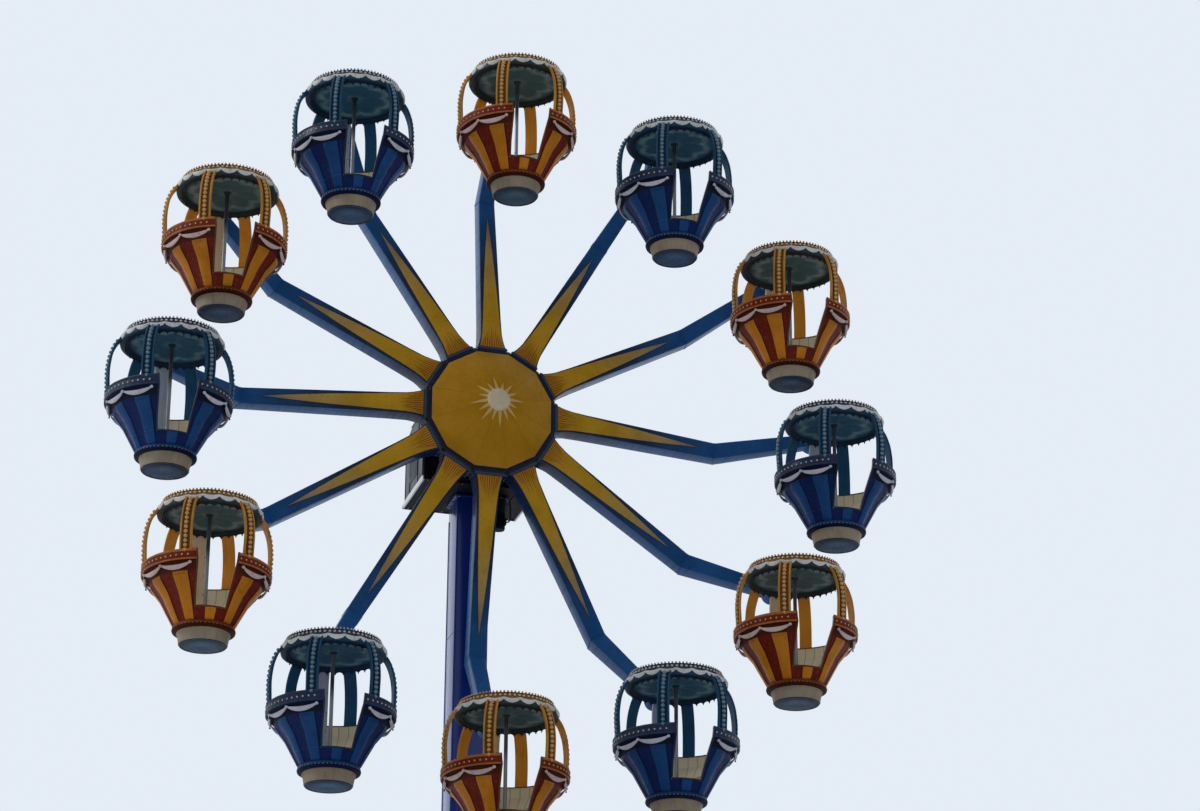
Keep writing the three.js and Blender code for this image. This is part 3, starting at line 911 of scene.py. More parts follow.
def gondola_roof():
    """Canopy: fascia with a garland and a row of lamps, low dome, ceiling and a jagged valance."""
    roof = Shape()
    under = [(0, 2.088), (0.16, 2.087), (0.3, 2.083), (0.46, 2.076), (0.62, 2.064), (0.67, 2.05),
             (0.676, 2.036), (0.68, 2.022), (0.686, 2.013), (0.7, 2.012), (0.708, 2.024)]
    ledge = [(0.77, 2.025), (0.788, 2.032), (0.794, 2.05), (0.792, 2.092), (0.786, 2.104)]
    band = [(0.788, 2.112), (0.768, 2.136), (0.706, 2.212), (0.708, 2.224), (0.702, 2.238), (0.686, 2.242)]
    dome = [(0.6, 2.258), (0.46, 2.283), (0.3, 2.302), (0.16, 2.314), (0.06, 2.319), (0, 2.32)]
    profile = under + ledge + band + dome
    # Under the fascia, the ceiling's edge, the rim's underside and the rim's lower face are painted dark as
    # painted shade
    names = ["ceiling"] * 5 + ["valance"] * 6 + ["ledge"] * 5 + ["gold"] + ["fascia"] * 2 + ["gold"] * 3
    names += ["roof"] * (len(profile) - len(names))

    def relief(row, angle):
        if row in (1, 2, 3):
            return 0, -0.014 * abs(math.cos(4 * angle)) * (0.5, 1, 0.8)[row - 1]
        if len(profile) - 6 <= row < len(profile) - 2:
            return 0, 0.007 * abs(math.sin(6 * angle)) * (len(profile) - 2 - row) / 4
        return 0, 0

    roof.turned(profile, names, 120, relief=relief)
    lobes = 20
    angles = [i * (TURN / lobes) for i in range(lobes + 1)]
    for ends in zip(angles, angles[1:]):
        crescent(roof, [(0.784, a, 2.124) for a in ends], (-0.01, 0.05), (0.02, 0.04), (0.01, 0.014),
                 "silver")
    roof.ring(bulb(0.022, 0.024, "silver"), 0.786, 2.112, spread(lobes), 1, 0.3)
    roof.ring(bulb(0.022, 0.026, "pearl"), 0.734, 2.178, spread(64), 0.8, 0.6)
    drips = 36
    roof.turned([(0.702, 2.016), (0.71, 2.016), (0.712, 1.972), (0.706, 1.972)], "valance", drips * 4,
                relief=lambda row, angle: (0, 0.034 * abs(math.cos(drips / 2 * angle)) if row > 1 else 0))
    first = math.pi / drips
    roof.ring(bulb(0.009, 0.016, "valance"), 0.709, 1.974, spread(drips, first, TURN + first), 0, -1)
    roof.ring(bulb(0.016, 0.034), 0.702, 2.232, spread(80), 0.45, 0.9)
    roof.turned([(0, 2.31), (0.075, 2.31), (0.07, 2.33), (0.045, 2.342), (0, 2.346)], "gold", 24)
    roof.turned([(0, 2.054), (0.044, 2.054), (0.052, 2.064), (0.062, 2.09), (0, 2.09)], "valance", 24)
    return roof


def gondola_hanger():
    """Centre pole, rear post, bracket, and the pivot shaft that hangs in the arm's end."""
    hanger = Shape()
    hanger.turned([(0, FLOOR_LEVEL + 0.0005), (0.085, FLOOR_LEVEL + 0.0005), (0.085, 0.308), (0.04, 0.318),
                   (0.03, 0.35), (0.03, 2.06), (0.042, 2.08), (0.045, 2.12), (0, 2.12)], "pole", 20)
    post = [(0.6, 0.742), (0.7, 0.855), (0.8, 0.975), (0.842, 1.03), (0.849, 1.1), (0.849, 1.45),
            (0.849, 1.84), (0.84, 1.92), (0.815, 2.02), (0.808, 2.09)]
    path = [Vector((0, y, z)) for y, z in post]
    hanger.sweep(path, outs_of(path), soft_rectangle(0.12, 0.031, 0.01), "post")
    hanger.stand(bulb(0.009, 0.006, "steel"),
                 [(x, 0.818, z) for z in (1.1, 1.4, 1.7) for x in (-0.095, 0.095)], (0, -1, 0))

    hanger.block((-0.23, 0.69, CANOPY_LEVEL + 0.02), (0.23, 0.81, PIVOT_LEVEL + 0.07), "rib", 0.014)
    for across in (-0.19, 0.19):
        hanger.block((across - 0.012, 0.62, 2.19), (across + 0.012, 0.8, 2.246), "rib", 0.004)
    hanger.block((-0.25, 0.8, 2.065), (0.25, 0.816, 2.225), "steel", 0.004)
    shaft = Shape()
    face = GONDOLA_FORWARD - BOSS_FRONT
    back = GONDOLA_FORWARD + BOSS_BACK
    shaft.turned([(0, face - 0.07), (0.13, face - 0.07), (0.13, face - 0.028), (0.095, face - 0.016),
                  (0.088, face - 0.0005), (0, face - 0.0005)], "steel", 40)
    shaft.turned([(0, face - 0.02), (0.0525, face - 0.02), (0.0525, back + 0.035), (0.046, back + 0.042),
                  (0, back + 0.042)], "steel", 32)
    shaft.turned([(0.05, back + 0.0005), (0.095, back + 0.0005), (0.095, back + 0.014), (0.07, back + 0.02),
                  (0.05, back + 0.02)], "steel", 32)
    shaft.collar(0.05, 0.078, back + 0.018, back + 0.03, "bolt", 6)
    shaft.put(bolt(0.011), [Matrix.Translation(polar(0.112, a, face - 0.03)) for a in spread(8)])
    hanger.put(shaft, [towards_back(PIVOT_LEVEL)])
    hanger.stand(bolt(0.012), [(x * 0.98, 0.816, z) for x in (-0.23, 0.23) for z in (2.09, 2.2)], (0, 1, 0))
    return hanger


# Arms and hub

def arm_half_width(out):
    """Half width of the arm at a distance from the axle."""
    if out < ARM_ROOT + FLARE_LENGTH:
        share = max(0.0, (out - ARM_ROOT) / FLARE_LENGTH)
        return ROOT_HALF_WIDTH + (FLARE_HALF_WIDTH - ROOT_HALF_WIDTH) * (1 - share) ** 2
    if out < ELBOW_OUT:
        share = (out - ARM_ROOT - FLARE_LENGTH) / (ELBOW_OUT - ARM_ROOT - FLARE_LENGTH)
        return between(ROOT_HALF_WIDTH, ELBOW_HALF_WIDTH, share)
    return between(ELBOW_HALF_WIDTH, END_HALF_WIDTH, (out - ELBOW_OUT) / (PIVOT_RADIUS - ELBOW_OUT))


def depth_of(direction):
    """Direction of the arm's depth, square to its length."""
    return Vector((1, 0, 0)).cross(direction).normalized()


def inner_half_depth(share):
    """Half depth of the arm between its root and its elbow."""
    return between(ARM_HALF_DEPTHS[0], ARM_HALF_DEPTHS[1], share)


def arm_stations():
    """Centre points, depth directions and half depths along the arm, mitred at the elbow."""
    root, elbow, end = (Vector((0, out, forward)) for out, forward in ARM_LINE)
    forward = Vector((0, 0, 1))
    inner = (elbow - root).normalized()
    outer = (end - elbow).normalized()
    mitre = (inner + outer).normalized()
    stretch = 1 / mitre.dot(inner)
    stations = [(root, forward, ARM_HALF_DEPTHS[0])]
    for share in (0.015, 0.03, 0.05, 0.075, 0.1, 0.2, 0.4, 0.6, 0.8, 0.97):
        tilt = forward.lerp(depth_of(inner), min(1, share / 0.1)).normalized()
        stations.append((root.lerp(elbow, share), tilt, inner_half_depth(share)))
    stations.append((elbow, depth_of(mitre), ARM_HALF_DEPTHS[1] * stretch))
    for share in (0.06, 0.5, 1.0):
        stations.append((elbow.lerp(end, share), depth_of(outer), between(*ARM_HALF_DEPTHS[1:], share)))
    return stations


def inner_share(out):
    """Share of the way from the arm's root to its elbow."""
    return (out - ARM_ROOT) / (ELBOW_OUT - ARM_ROOT)


def front_of_arm(out, across, lift):
    """Point on the arm's front face, lifted off it."""
    root, elbow = (Vector((0, o, f)) for o, f in ARM_LINE[:2])
    share = inner_share(out)
    depth = depth_of((elbow - root).normalized())
    return root.lerp(elbow, share) + depth * (inner_half_depth(share) + lift) + Vector((across, 0, 0))


def back_of_arm(out):
    """Point behind the arm, where its cable runs."""
    return front_of_arm(out, arm_half_width(out) * 0.55, -2 * inner_half_depth(inner_share(out)) - 0.012)


def front_strip(shape, marks, lift, paint):
    """Thin plate on the arm's front face, with bevelled edges. marks are (out, half width, middle)."""
    rows = []
    for out, half, middle in marks:
        edge = min(0.006, half * 0.5)
        across = [(-half, -0.004), (-half, lift * 0.6), (-half + edge, lift), (half - edge, lift),
                  (half, lift * 0.6), (half, -0.004)]
        rows.append([front_of_arm(out, middle + x, up) for x, up in across])
    shape.skin(rows, paint, ends=True)


# Front panel of an arm, as distances from the axle and half widths
PANEL_LINE = [(1.09, 0.204), (1.16, 0.189), (1.25, 0.174), (1.35, 0.16), (1.5, 0.148), (2.0, 0.12),
              (2.5, 0.092), (3.0, 0.056), (3.3, 0.032), (3.62, 0.003)]


def arm():
    beam = Shape()
    corner = 0.022
    rows = []
    for centre, depth, half in arm_stations():
        section = soft_rectangle(arm_half_width(centre.y), half, corner, 3)
        rows.append([centre + Vector((x, 0, 0)) + depth * n for x, n in section])
    flanks = (7, 15)             # faces of the section that look left and right
    beam.skin(rows, lambda row, column: "arm_side" if column in flanks else "arm", ends=True)

    front_strip(beam, [(out, half + 0.01, 0) for out, half in PANEL_LINE], 0.004, "arm_edge")
    front_strip(beam, [(out, half, 0) for out, half in PANEL_LINE], 0.008, "panel")
    band = [ARM_ROOT + step for step in (0.002, 0.01, 0.036, 0.042)]
    # Grey-blue root strip: painted light that stands for the drum's lit side face
    front_strip(beam, [(out, arm_half_width(out) - 0.003, 0) for out in band], 0.014, "root_band")
    taper = [(0, 0.007), (0.15, 0.0075), (0.4, 0.006), (0.7, 0.004), (1, 0.001)]
    streaks = [(-0.14, 0.17), (-0.106, 0.26), (-0.07, 0.33), (-0.036, 0.24), (-0.004, 0.36), (0.032, 0.27),
               (0.066, 0.35), (0.102, 0.23), (0.136, 0.19)]
    for middle, reach in streaks:
        front_strip(beam, [(PANEL_LINE[0][0] + 0.006 + reach * s, half, middle * (1.2 - 0.35 * s))
                           for s, half in taper], 0.0105, "streak")

    root_z = ARM_LINE[0][1]
    face = ARM_ROOT + 0.034
    beam.block((-0.25, ARM_ROOT + 0.0002, root_z - 0.205), (0.25, face, root_z + 0.14), "arm_edge")
    beam.stand(bolt(0.014), [(x, face, root_z + up) for x in (-0.235, 0.235)
                             for up in (-0.17, -0.08, 0.01, 0.1)], (0, 1, 0))

    elbow, depth, half = arm_stations()[-4]
    section = soft_rectangle(arm_half_width(ELBOW_OUT) + 0.001, half + 0.001, corner, 3)
    seam = [elbow + Vector((x, 0, 0)) + depth * n for x, n in section]
    beam.tube(seam + [seam[0]], 0.006, "arm", 6)

    cable = [back_of_arm(between(ARM_ROOT, ELBOW_OUT, share)) for share in (0.02, 0.2, 0.5, 0.8, 0.95)]
    beam.tube(smooth_path(cable, 4), 0.013, "rubber")
    for out in (1.6, 2.2, 2.8, 3.4):
        spot = back_of_arm(out)
        beam.block(spot - Vector((0.028, 0.012, 0.018)), spot + Vector((0.028, 0.012, 0.022)), "steel", 0.003)

    boss = Shape()
    front, back = PIVOT_FORWARD + BOSS_FRONT, PIVOT_FORWARD - BOSS_BACK
    boss.turned([(0.056, back + 0.0005), (0.085, back + 0.0005), (0.088, back + 0.012), (0.13, back + 0.014),
                 (0.145, back + 0.024), (BOSS_RADIUS, back + 0.036), (BOSS_RADIUS, front - 0.03),
                 (0.145, front - 0.02), (0.12, front - 0.018), (0.118, front - 0.003),
                 (0.056, front - 0.003)], "arm", 48)
    angles = spread(8, 0.2, TURN + 0.2)
    boss.put(bolt(0.01), [Matrix.Translation(polar(0.132, a, front - 0.019)) for a in angles])
    boss.collar(0.0535, 0.062, back + 0.003, front - 0.006, "steel", 32)
    beam.put(boss, [Matrix.Translation((0, PIVOT_RADIUS, 0))])
    return beam


def facet_height(point_radius, angle):
    """Height of the cap's faceted slope at a place round the axle."""
    off = (angle + STEP_ANGLE / 2) % STEP_ANGLE - STEP_ANGLE / 2
    reach = point_radius * math.cos(off)
    share = (CAP_CORNER * FACET_COSINE - reach) / ((CAP_CORNER - CAP_DISC) * FACET_COSINE)
    return between(CAP_EDGE, CAP_TOP, share)


HUB_CORNERS = [a + STEP_ANGLE / 2 for a in spread(GONDOLAS)]


def hub_drum():
    drum = Shape()
    corners = HUB_CORNERS
    outer = HUB_CORNER
    drum.turned([(0, -HUB_DEPTH), (outer - 0.015, -HUB_DEPTH), (outer, -HUB_DEPTH + 0.012), (outer, -0.014),
                 (outer - 0.014, 0), (0, 0)], "drum", corners)
    drum.turned([(CAP_CORNER - 0.03, -0.002), (outer - 0.012, -0.002), (outer - 0.016, 0.008),
                 (CAP_CORNER + 0.012, 0.01), (CAP_CORNER + 0.006, 0.004), (CAP_CORNER - 0.03, 0.004)],
                "rim", corners)
    drum.turned([(outer - 0.03, -0.12), (outer + 0.036, -0.12), (outer + 0.042, -0.112),
                 (outer + 0.042, -0.052), (outer + 0.036, -0.044), (outer - 0.03, -0.044)], "drum", corners)
    for angle in spread(GONDOLAS):
        drum.block((-0.245, -ARM_ROOT - 0.0002, -0.385), (0.245, -ARM_ROOT + 0.03, -0.012), "drum", 0.004,
                   place=turned_by(angle))
    head = bolt(0.012)
    drum.ring(head, HUB_CORNER - 0.05, -HUB_DEPTH, corners, 0, -1)
    drum.turned([(0.53, -HUB_DEPTH + 0.002), (0.66, -HUB_DEPTH + 0.002), (0.65, -HUB_DEPTH - 0.012),
                 (0.54, -HUB_DEPTH - 0.012)], "rim", 48)
    drum.ring(head, 0.6, -HUB_DEPTH - 0.012, spread(24), 0, -1)
    return drum


def hub_cap():
    cap = Shape()
    cap.turned([(0, 0.0004), (CAP_CORNER, 0.0004), (CAP_CORNER + 0.001, 0.012), (CAP_CORNER - 0.002, 0.03),
                (CAP_CORNER - 0.012, CAP_EDGE + 0.006), (CAP_DISC, CAP_TOP), (0, CAP_TOP)],
               ["drum"] * 3 + ["pale"] + ["cap"] * 3, HUB_CORNERS)
    for angle in HUB_CORNERS:
        start = polar(CAP_CORNER - 0.03, angle, facet_height(CAP_CORNER - 0.03, angle))
        end = polar(CAP_DISC, angle, facet_height(CAP_DISC, angle))
        cap.tube([start, end], 0.004, "cap", 6)
    boss = [(0, -0.01), (0.186, -0.012), (0.19, 0.002), (0.178, 0.014), (0.14, 0.026), (0.07, 0.032),
            (0, 0.034)]
    cap.turned([(radius, CAP_TOP + up) for radius, up in boss], "sun", 48)
    lengths = [0.27, 0.18, 0.25, 0.16, 0.29, 0.19, 0.24, 0.17, 0.28, 0.18, 0.26, 0.15, 0.27, 0.19, 0.24, 0.17]
    for ray, length in enumerate(lengths):
        angle = TURN * (ray + 0.35) / len(lengths)
        rows = []
        for share in (0, 0.3, 0.65, 1):
            radius = CAP_DISC - 0.01 + length * share
            half = (0.031 * (1 - share) ** 0.9 + 0.003) / radius
            rows.append([polar(radius, angle + half * s, facet_height(radius, angle + half * s) + up)
                         for s, up in ((-1, -0.006), (-1, 0.004), (0, 0.008), (1, 0.004), (1, -0.006))])
        cap.skin(rows, "ray", ends=True)
    return cap


# Tower

def base_plate():
    base = Shape()
    base.block((-0.9, -0.9, 0.0), (0.9, 0.9, 0.06), "column")
    reach, top, toe = 0.79, 0.65, 0.12
    face = COLUMN_HALF + 0.0003
    outline = [(face, 0.058), (reach, 0.058), (reach, toe), (face + 0.06, top), (face, top)]
    for offset in (-0.17, 0.17):
        for quarter in range(4):
            turn = turned_by(quarter * math.pi / 2)
            rows = [[turn @ Vector((offset + side, r, z)) for r, z in outline] for side in (-0.02, 0.02)]
            base.skin(rows, "column", ends=True)
            base.tube([turn @ Vector((offset + 0.022, r, 0.062)) for r in (face, reach)], 0.009, "column", 6)
    anchor = Shape()
    anchor.collar(0, 0.06, 0.058, 0.07, "steel", 24)
    anchor.collar(0, 0.036, 0.07, 0.098, "bolt", 6)
    anchor.turned([(0, 0.098), (0.019, 0.098), (0.019, 0.14), (0.015, 0.145), (0, 0.145)], "bolt", 16)
    rows = (-0.78, -0.39, 0, 0.39, 0.78)
    base.put(anchor, [Matrix.Translation((x, y, 0)) for x in rows for y in rows if max(abs(x), abs(y)) > 0.7])
    return base


def column():
    mast = Shape()
    foot, top = 0.0603, FLOOR_BOTTOM - 0.0003
    section = soft_rectangle(COLUMN_HALF, COLUMN_HALF, 0.03, 3)
    levels = [foot, 1.0, 3.0, 3.585, 3.6, 3.615, 5.0, top]
    mast.skin([[Vector((x, y, z)) for x, y in section] for z in levels], "column", ends=True)
    outside = soft_rectangle(COLUMN_HALF + 0.001, COLUMN_HALF + 0.001, 0.03, 3)
    for level in (2.4, 4.75):
        mast.tube([(x, y, level) for x, y in outside + outside[:1]], 0.006, "column", 6)
    bar = 0.018
    for x in (-0.262, 0.262):
        for y in (-0.262, 0.262):
            mast.block((x - bar, y - bar, foot + 0.6), (x + bar, y + bar, top - 0.3), "column", 0.012)
    mast.block((-0.31, -0.31, top - 0.045), (0.31, 0.31, top), "column")
    head = bolt(0.016)
    for x in (-0.25, 0, 0.25):
        for y in (-0.292, 0.292):
            mast.stand(head, [(x, y, top - 0.045), (y, x, top - 0.045)], (0, 0, -1))
    mast.block((-0.14, 0.268, 1.0), (0.14, 0.289, 1.55), "column")
    mast.stand(bolt(0.009), [(x, 0.289, z) for x in (-0.115, 0.115) for z in (1.03, 1.275, 1.52)], (0, 1, 0))
    mast.tube([(0.2, 0.295, 0.7), (0.2, 0.295, top - 0.05)], 0.02, "rubber", 10)
    for level in spread(9, 0.9, top):
        mast.block((0.165, 0.27, level), (0.235, 0.32, level + 0.03), "steel", 0.004)
    return mast


def machine_floor():
    deck = Shape()
    low, top = FLOOR_BOTTOM, FLOOR_BOTTOM + FLOOR_THICK
    # Near-black deck: painted shade on the machine floor's underside
    deck.block((-0.962, -0.762, low + 0.012), (0.962, 0.682, top), "machine", 0.004)
    for x in (-0.955, 0.955):
        deck.block((x - 0.015, -0.77, low), (x + 0.015, 0.69, top + 0.0002), "trim_white", 0.004)
    for y in (-0.77, 0.662):
        deck.block((-0.97, y, low), (0.97, y + 0.028, top + 0.0002), "machine", 0.004)
    for x in (-0.62, -0.34, 0.66):
        deck.block((x - 0.03, -0.745, low + 0.001), (x + 0.03, 0.665, low + 0.02), "machine", 0.004)
    deck.stand(bolt(0.012), [(x, y, low + 0.012) for x in spread(7, -0.88, 1.13) for y in (-0.71, 0.63)],
               (0, 0, -1))
    return deck


def side_outline(points, half_width, shape):
    """White plate outline of (y, z) points carried from -half_width to +half_width, with eased ends."""
    edge = 0.01
    centre = Vector((sum(p[0] for p in points), sum(p[1] for p in points))) / len(points)
    rows = []
    near = half_width - edge
    for x, inset in ((-half_width, edge), (-near, 0), (near, 0), (half_width, edge)):
        row = []
        for point in points:
            y, z = Vector(point) - (Vector(point) - centre).normalized() * inset
            row.append(Vector((x, y, z)))
        rows.append(row)
    shape.skin(rows, "white", ends=True)


def lattice(shape, y0, y1, z0, z1, x, side):
    """Grille of crossing bars in a frame, on a side wall, over a near-black plate that is painted shade in
    the recess.
    """
    shape.block((x - 0.004, y0, z0), (x + 0.004, y1, z1), "void", 0.001)
    bar = 0.02
    for z in (z0 - bar, z1):
        shape.block((x - 0.012, y0 - bar, z), (x + 0.012, y1 + bar, z + bar), "grille", 0.003)
    for y in (y0 - bar, y1):
        shape.block((x - 0.012, y, z0), (x + 0.012, y + bar, z1), "grille", 0.003)
    wide, tall = y1 - y0, z1 - z0
    pitch = 0.062
    section = soft_rectangle(0.009, 0.003, 0.001, 1)
    for slope in (-1, 1):
        corner = y0 if slope > 0 else y1
        start = pitch / 2
        while start < wide + tall:
            left = (corner + slope * max(0, start - tall), z1 - max(0, tall - start))
            right = (corner + slope * min(start, wide), z0 + max(0, start - wide))
            path = [Vector((x + side * 0.008, *end)) for end in (left, right)]
            if (path[0] - path[1]).length > 0.02:
                shape.sweep(path, Vector((side, 0, 0)), section, "grille")
            start += pitch


def machine_housing():
    house = Shape()
    low = FLOOR_BOTTOM + FLOOR_THICK + 0.0003
    half, front, back, top = 0.935, -0.6, 0.65, 8.4
    eaves, slope = 8.28, 0.38
    side_outline([(front, low), (back, low), (back, eaves), (back - slope, top), (front, top)], half, house)
    side_outline([(-0.75, low), (back - slope, low), (back - slope, top), (-0.25, 8.85), (-0.75, 8.85)], 0.6,
                 house)
    house.block((-0.945, -0.61, top - 0.012), (0.945, back - slope + 0.02, top + 0.008), "white", 0.004)
    for side in (-1, 1):
        x = side * half
        for y in (-0.58, -0.24, 0.3, 0.62):
            # Near-black slits between the side panels: painted shade in the gaps
            house.block((x - 0.008, y - 0.018, low), (x + 0.008, y + 0.018, 8.26), "void", 0.003)
        lattice(house, -0.2, 0.26, 7.42, 8.12, x + side * 0.004, side)
        for y0, y1 in ((0.34, 0.58), (-0.55, -0.28)):
            house.block((x - 0.006, y0, 7.3), (x + 0.006, y1, 8.1), "white", 0.004)
        house.block((x - 0.012, front, low), (x + 0.012, back, low + 0.07), "trim_white")
        for z in (7.45, 7.95):
            house.block((x - 0.01, 0.325, z), (x + 0.014, 0.36, z + 0.07), "steel", 0.003)
        house.block((x - 0.01, 0.54, 7.68), (x + 0.02, 0.56, 7.78), "steel", 0.003)
    for x in (-0.45, 0.45):
        house.block((x - 0.4, back - 0.006, 7.25), (x + 0.4, back + 0.006, 8.18), "white", 0.004)
        for z in spread(8, 7.75, 8.1):
            tilt = Matrix.Translation((x, back + 0.01, z)) @ Matrix.Rotation(0.6, 4, "X")
            house.block((-0.28, -0.004, -0.018), (0.28, 0.004, 0.018), "grille", 0.001, place=tilt)
        house.block((x - 0.03, back + 0.004, 7.42), (x + 0.03, back + 0.03, 7.46), "steel", 0.004)
    # Near-black front plates: painted shade on the housing's front behind the hub
    house.block((-0.925, front - 0.01, low + 0.016), (0.925, front + 0.002, top - 0.016), "machine", 0.003)
    house.block((-0.59, -0.76, low + 0.016), (0.59, -0.748, 8.83), "machine", 0.003)
    for x in spread(5, -0.5, 0.75):
        house.block((x - 0.006, -0.765, 7.2), (x + 0.006, -0.757, 8.82), "machine", 0.002)
    house.block((-0.62, -0.76, 8.835), (0.62, -0.24, 8.865), "white")
    hose = [(0.3, -0.1, 8.7), (0.3, 0.0, 8.72), (0.3, 0.06, 8.66), (0.3, 0.08, 8.52)]
    house.tube(smooth_path(hose, 4), 0.03, "rubber", 10)
    return house


def slewing_bearing():
    bearing = Shape()
    ring = Shape()
    back = HUB.y + HUB_DEPTH + 0.0003
    seat = -0.75 - 0.0003
    ring.turned([(0, back), (0.4, back), (0.4, back + 0.05), (0.505, back + 0.05), (0.52, back + 0.06),
                 (0.52, seat - 0.06), (0.505, seat - 0.05), (0.49, seat - 0.05), (0.49, seat), (0, seat)],
                "machine", 64)
    ring.collar(0.38, 0.515, back, back + 0.045, "steel", 64)
    tooth = Shape()
    tooth.block((-0.01, -0.524, seat - 0.045), (0.01, -0.505, seat - 0.006), "steel", 0.002)
    ring.put(tooth, [turned_by(a) for a in spread(72)])
    ring.ring(bolt(0.013), 0.455, seat - 0.05, spread(30), 0, -1)
    bearing.put(ring, [towards_back(HUB.z)])
    return bearing


def drive_motor():
    motor = Shape()
    seat = FLOOR_BOTTOM - 0.0003
    unit = Shape()
    unit.turned([(0, 0), (0.145, 0), (0.145, -0.03), (0.12, -0.04), (0.115, -0.07), (0.115, -0.24),
                 (0.105, -0.26), (0, -0.26)], "machine", 40)
    unit.ring(bolt(0.012), 0.13, -0.03, spread(8), 0, -1)
    unit.turned([(0, -0.25), (0.112, -0.25), (0.112, -0.275), (0.086, -0.28), (0.086, -0.5), (0.1, -0.505),
                 (0.1, -0.535), (0.09, -0.555), (0, -0.56)], "machine", 40)
    fin = Shape()
    fin.block((-0.002, -0.101, -0.5), (0.002, -0.084, -0.285), "machine", 0.0008)
    unit.put(fin, [turned_by(a) for a in spread(36)])
    unit.block((0.07, -0.05, -0.46), (0.118, 0.05, -0.34), "machine")
    motor.put(unit, [Matrix.Translation((0.43, -0.275, seat))])
    lead = [(0.54, -0.275, -0.38), (0.58, -0.275, -0.4), (0.62, -0.26, -0.34), (0.63, -0.24, -0.2),
            (0.62, -0.22, -0.004)]
    motor.tube(smooth_path([(x, y, seat + z) for x, y, z in lead], 4), 0.012, "rubber")
    return motor


# Assembly

def wheel_place(angle):
    """Matrix of the wheel's own axes, turned clockwise by angle as seen from the front."""
    across = Vector((math.cos(angle), 0, -math.sin(angle)))
    along = Vector((math.sin(angle), 0, math.cos(angle)))
    forward = Vector((0, -1, 0))
    turn = Matrix((across, along, forward)).transposed().to_4x4()
    return Matrix.Translation(HUB) @ turn


def add_gondolas():
    shapes = {"tub": gondola_tub(), "door": door_trim(), "rail": rail_and_swags(), "ribs": gondola_ribs(),
              "roof": gondola_roof(), "hanger": gondola_hanger()}
    stands_for = {"tub": "basket", "roof": "canopy", "ribs": "canopy", "hanger": "canopy"}
    meshes = {}
    for colour, paints in (("orange", ORANGE), ("blue", BLUE)):
        meshes[colour] = {name: mesh_of(f"{colour}_{name}", shape, paints) for name, shape in shapes.items()}
    for i in range(GONDOLAS):
        angle = i * STEP_ANGLE
        number = f"{i + 1:02d}"
        colour = "orange" if i % 2 == 0 else "blue"
        place = Matrix.Translation((PIVOT_RADIUS * math.sin(angle), HUB.y - PIVOT_FORWARD - GONDOLA_FORWARD,
                                    HUB.z + PIVOT_RADIUS * math.cos(angle) - PIVOT_LEVEL))
        for name, mesh in meshes[colour].items():
            node = stands_for.get(name)
            piece(f"gondola_{number}_{name}", mesh, f"gondola_{number}",
                  [f"{node}_{number}"] if node else [], place)


def add_wheel():
    beam = mesh_of("arm", arm(), COMMON)
    for i in range(GONDOLAS):
        number = f"{i + 1:02d}"
        place = wheel_place(i * STEP_ANGLE)
        piece(f"wheel_arm_{number}", beam, "wheel", [f"arm_{number}"], place)
    place = wheel_place(0)
    piece("wheel_drum", mesh_of("drum", hub_drum(), COMMON), "wheel", ["hub_drum"], place)
    piece("wheel_cap", mesh_of("cap", hub_cap(), COMMON), "wheel", ["hub_cap"], place)


def add_tower():
    slots = {base_plate: "column_blue", column: "column_blue", machine_floor: "machine_grey",
             machine_housing: "housing_white", slewing_bearing: "machine_grey", drive_motor: "machine_grey"}
    for make, slot in slots.items():
        node = make.__name__
        piece(f"tower_{node}", mesh_of(node, make(), COMMON), "tower", [node])


# Studio

CAMERA_AZIMUTH = -16.61          # degrees from straight in front, to the left
CAMERA_PITCH = 22.51             # degrees up
CAMERA_ROLL = 0.36
CAMERA_DISTANCE = 53.28          # metres along the view to the hub
CAMERA_LENS = 99.06
SENSOR_WIDTH = 36.0
HUB_RIGHT = -1.753               # where the hub stands beside the view's middle, in metres
HUB_UP = -0.076


def add_camera():
    """Low viewpoint to the left, with a long lens."""
    azimuth, pitch = math.radians(CAMERA_AZIMUTH), math.radians(CAMERA_PITCH)
    level = math.cos(pitch)
    ahead = Vector((-math.sin(azimuth) * level, math.cos(azimuth) * level, math.sin(pitch)))
    level_right = ahead.cross(Vector((0, 0, 1))).normalized()
    level_up = level_right.cross(ahead)
    roll = math.radians(CAMERA_ROLL)
    right = math.cos(roll) * level_right + math.sin(roll) * level_up
    up = -math.sin(roll) * level_right + math.cos(roll) * level_up
    data = bpy.data.cameras.new("camera")
    data.lens = CAMERA_LENS
    data.sensor_width = SENSOR_WIDTH
    data.sensor_fit = "HORIZONTAL"
    data.clip_end = 500
    camera = bpy.data.objects.new("camera", data)
    camera.location = HUB - HUB_RIGHT * right - HUB_UP * up - CAMERA_DISTANCE * ahead
    basis = [[right[i], up[i], -ahead[i]] for i in range(3)]
    camera.rotation_mode = "QUATERNION"
    camera.rotation_quaternion = Matrix(basis).to_quaternion()
    bpy.context.scene.collection.objects.link(camera)
    bpy.context.scene.camera = camera


def add_light(name, place, target, power, size, colour):
    data = bpy.data.lights.new(name, "AREA")
    data.energy = power
    data.size = size
    data.color = colour
    light = bpy.data.objects.new(name, data)
    light.location = place
    light.rotation_mode = "QUATERNION"
    light.rotation_quaternion = (Vector(target) - Vector(place)).to_track_quat("-Z", "Y")
    bpy.context.scene.collection.objects.link(light)


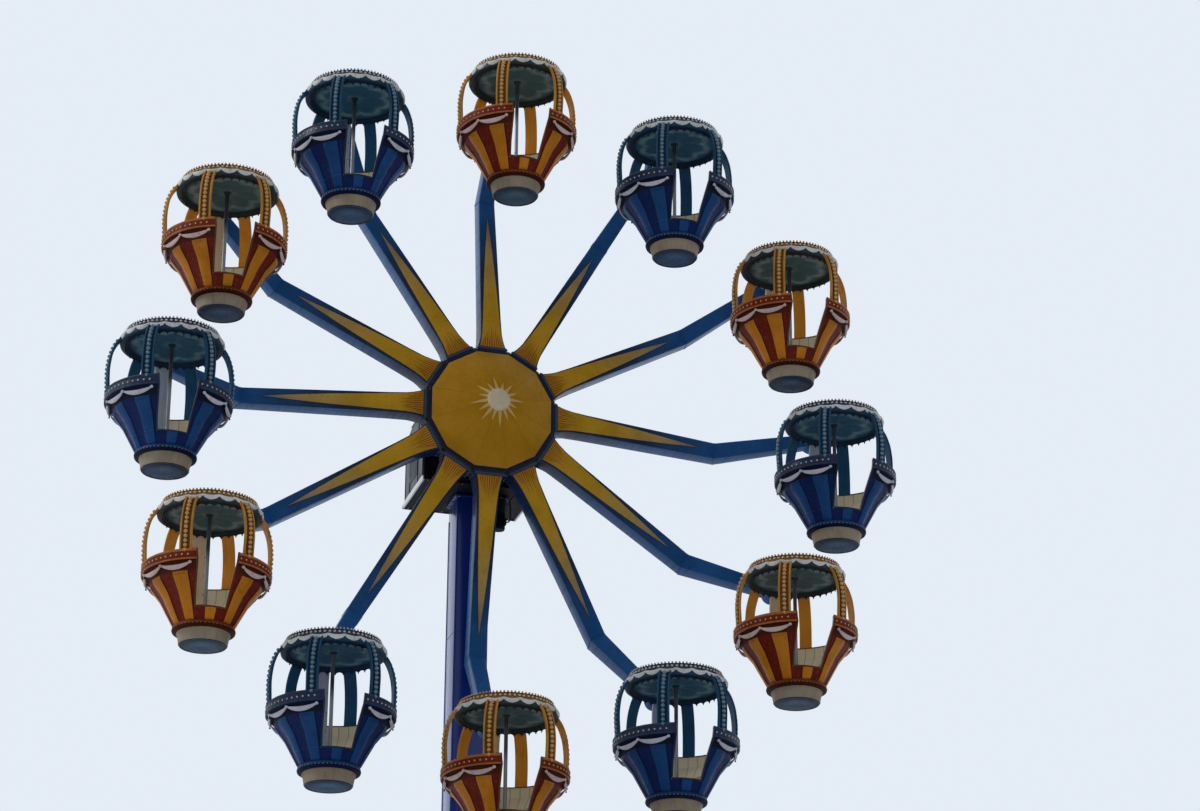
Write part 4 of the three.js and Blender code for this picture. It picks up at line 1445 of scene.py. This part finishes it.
def add_floor():
    """Pale ground that is seen and lit from above, and clear from below."""
    mesh = bpy.data.meshes.new("ground")
    half = 60
    corners = [(-half, -half, 0), (half, -half, 0), (half, half, 0), (-half, half, 0)]
    mesh.from_pydata(corners, [], [range(4)])
    finish = Finish("pale_ground")
    patches = finish.step(finish.noise(0.6, 4), 0.3, 0.7)
    finish.surface(finish.mix(patches, (0.725, 0.735, 0.745, 1), (0.75, 0.76, 0.77, 1)), 0.9)
    geometry = finish.nodes.new("ShaderNodeNewGeometry")
    clear = finish.nodes.new("ShaderNodeBsdfTransparent")
    choose = finish.nodes.new("ShaderNodeMixShader")
    finish.links.new(geometry.outputs["Backfacing"], choose.inputs[0])
    finish.links.new(finish.shader.outputs[0], choose.inputs[1])
    finish.links.new(clear.outputs[0], choose.inputs[2])
    finish.links.new(choose.outputs[0], finish.nodes["Material Output"].inputs["Surface"])
    mesh.materials.append(finish.material)
    ground = bpy.data.objects.new("ground", mesh)
    ground.location.z = -0.002
    bpy.context.scene.collection.objects.link(ground)


def add_world():
    """Soft light from all round, brighter behind the wheel than in front of it."""
    world = bpy.data.worlds.new("studio")
    world.use_nodes = True
    nodes, links = world.node_tree.nodes, world.node_tree.links
    background = nodes["Background"]
    background.inputs["Strength"].default_value = 1
    direction = nodes.new("ShaderNodeTexCoord")
    axes = nodes.new("ShaderNodeSeparateXYZ")
    links.new(direction.outputs["Generated"], axes.inputs[0])
    behind = nodes.new("ShaderNodeMapRange")
    behind.interpolation_type = "SMOOTHSTEP"
    for socket, value in zip(list(behind.inputs)[1:5], (-0.6, 0.8, 0, 1)):
        socket.default_value = value
    links.new(axes.outputs["Y"], behind.inputs["Value"])
    sky = nodes.new("ShaderNodeMix")
    sky.data_type = "RGBA"
    sky.inputs["A"].default_value = (0.4, 0.43, 0.47, 1)
    sky.inputs["B"].default_value = (0.78, 0.84, 0.92, 1)
    links.new(behind.outputs["Result"], sky.inputs["Factor"])
    links.new(sky.outputs["Result"], background.inputs["Color"])
    bpy.context.scene.world = world
    bpy.context.scene.view_settings.view_transform = "Standard"


add_camera()
add_gondolas()
add_wheel()
add_tower()
add_floor()
add_world()
add_light("soft_left", (-34, 4, 30), (0, -2, 8), 4000, 12, (1.0, 0.95, 0.86))
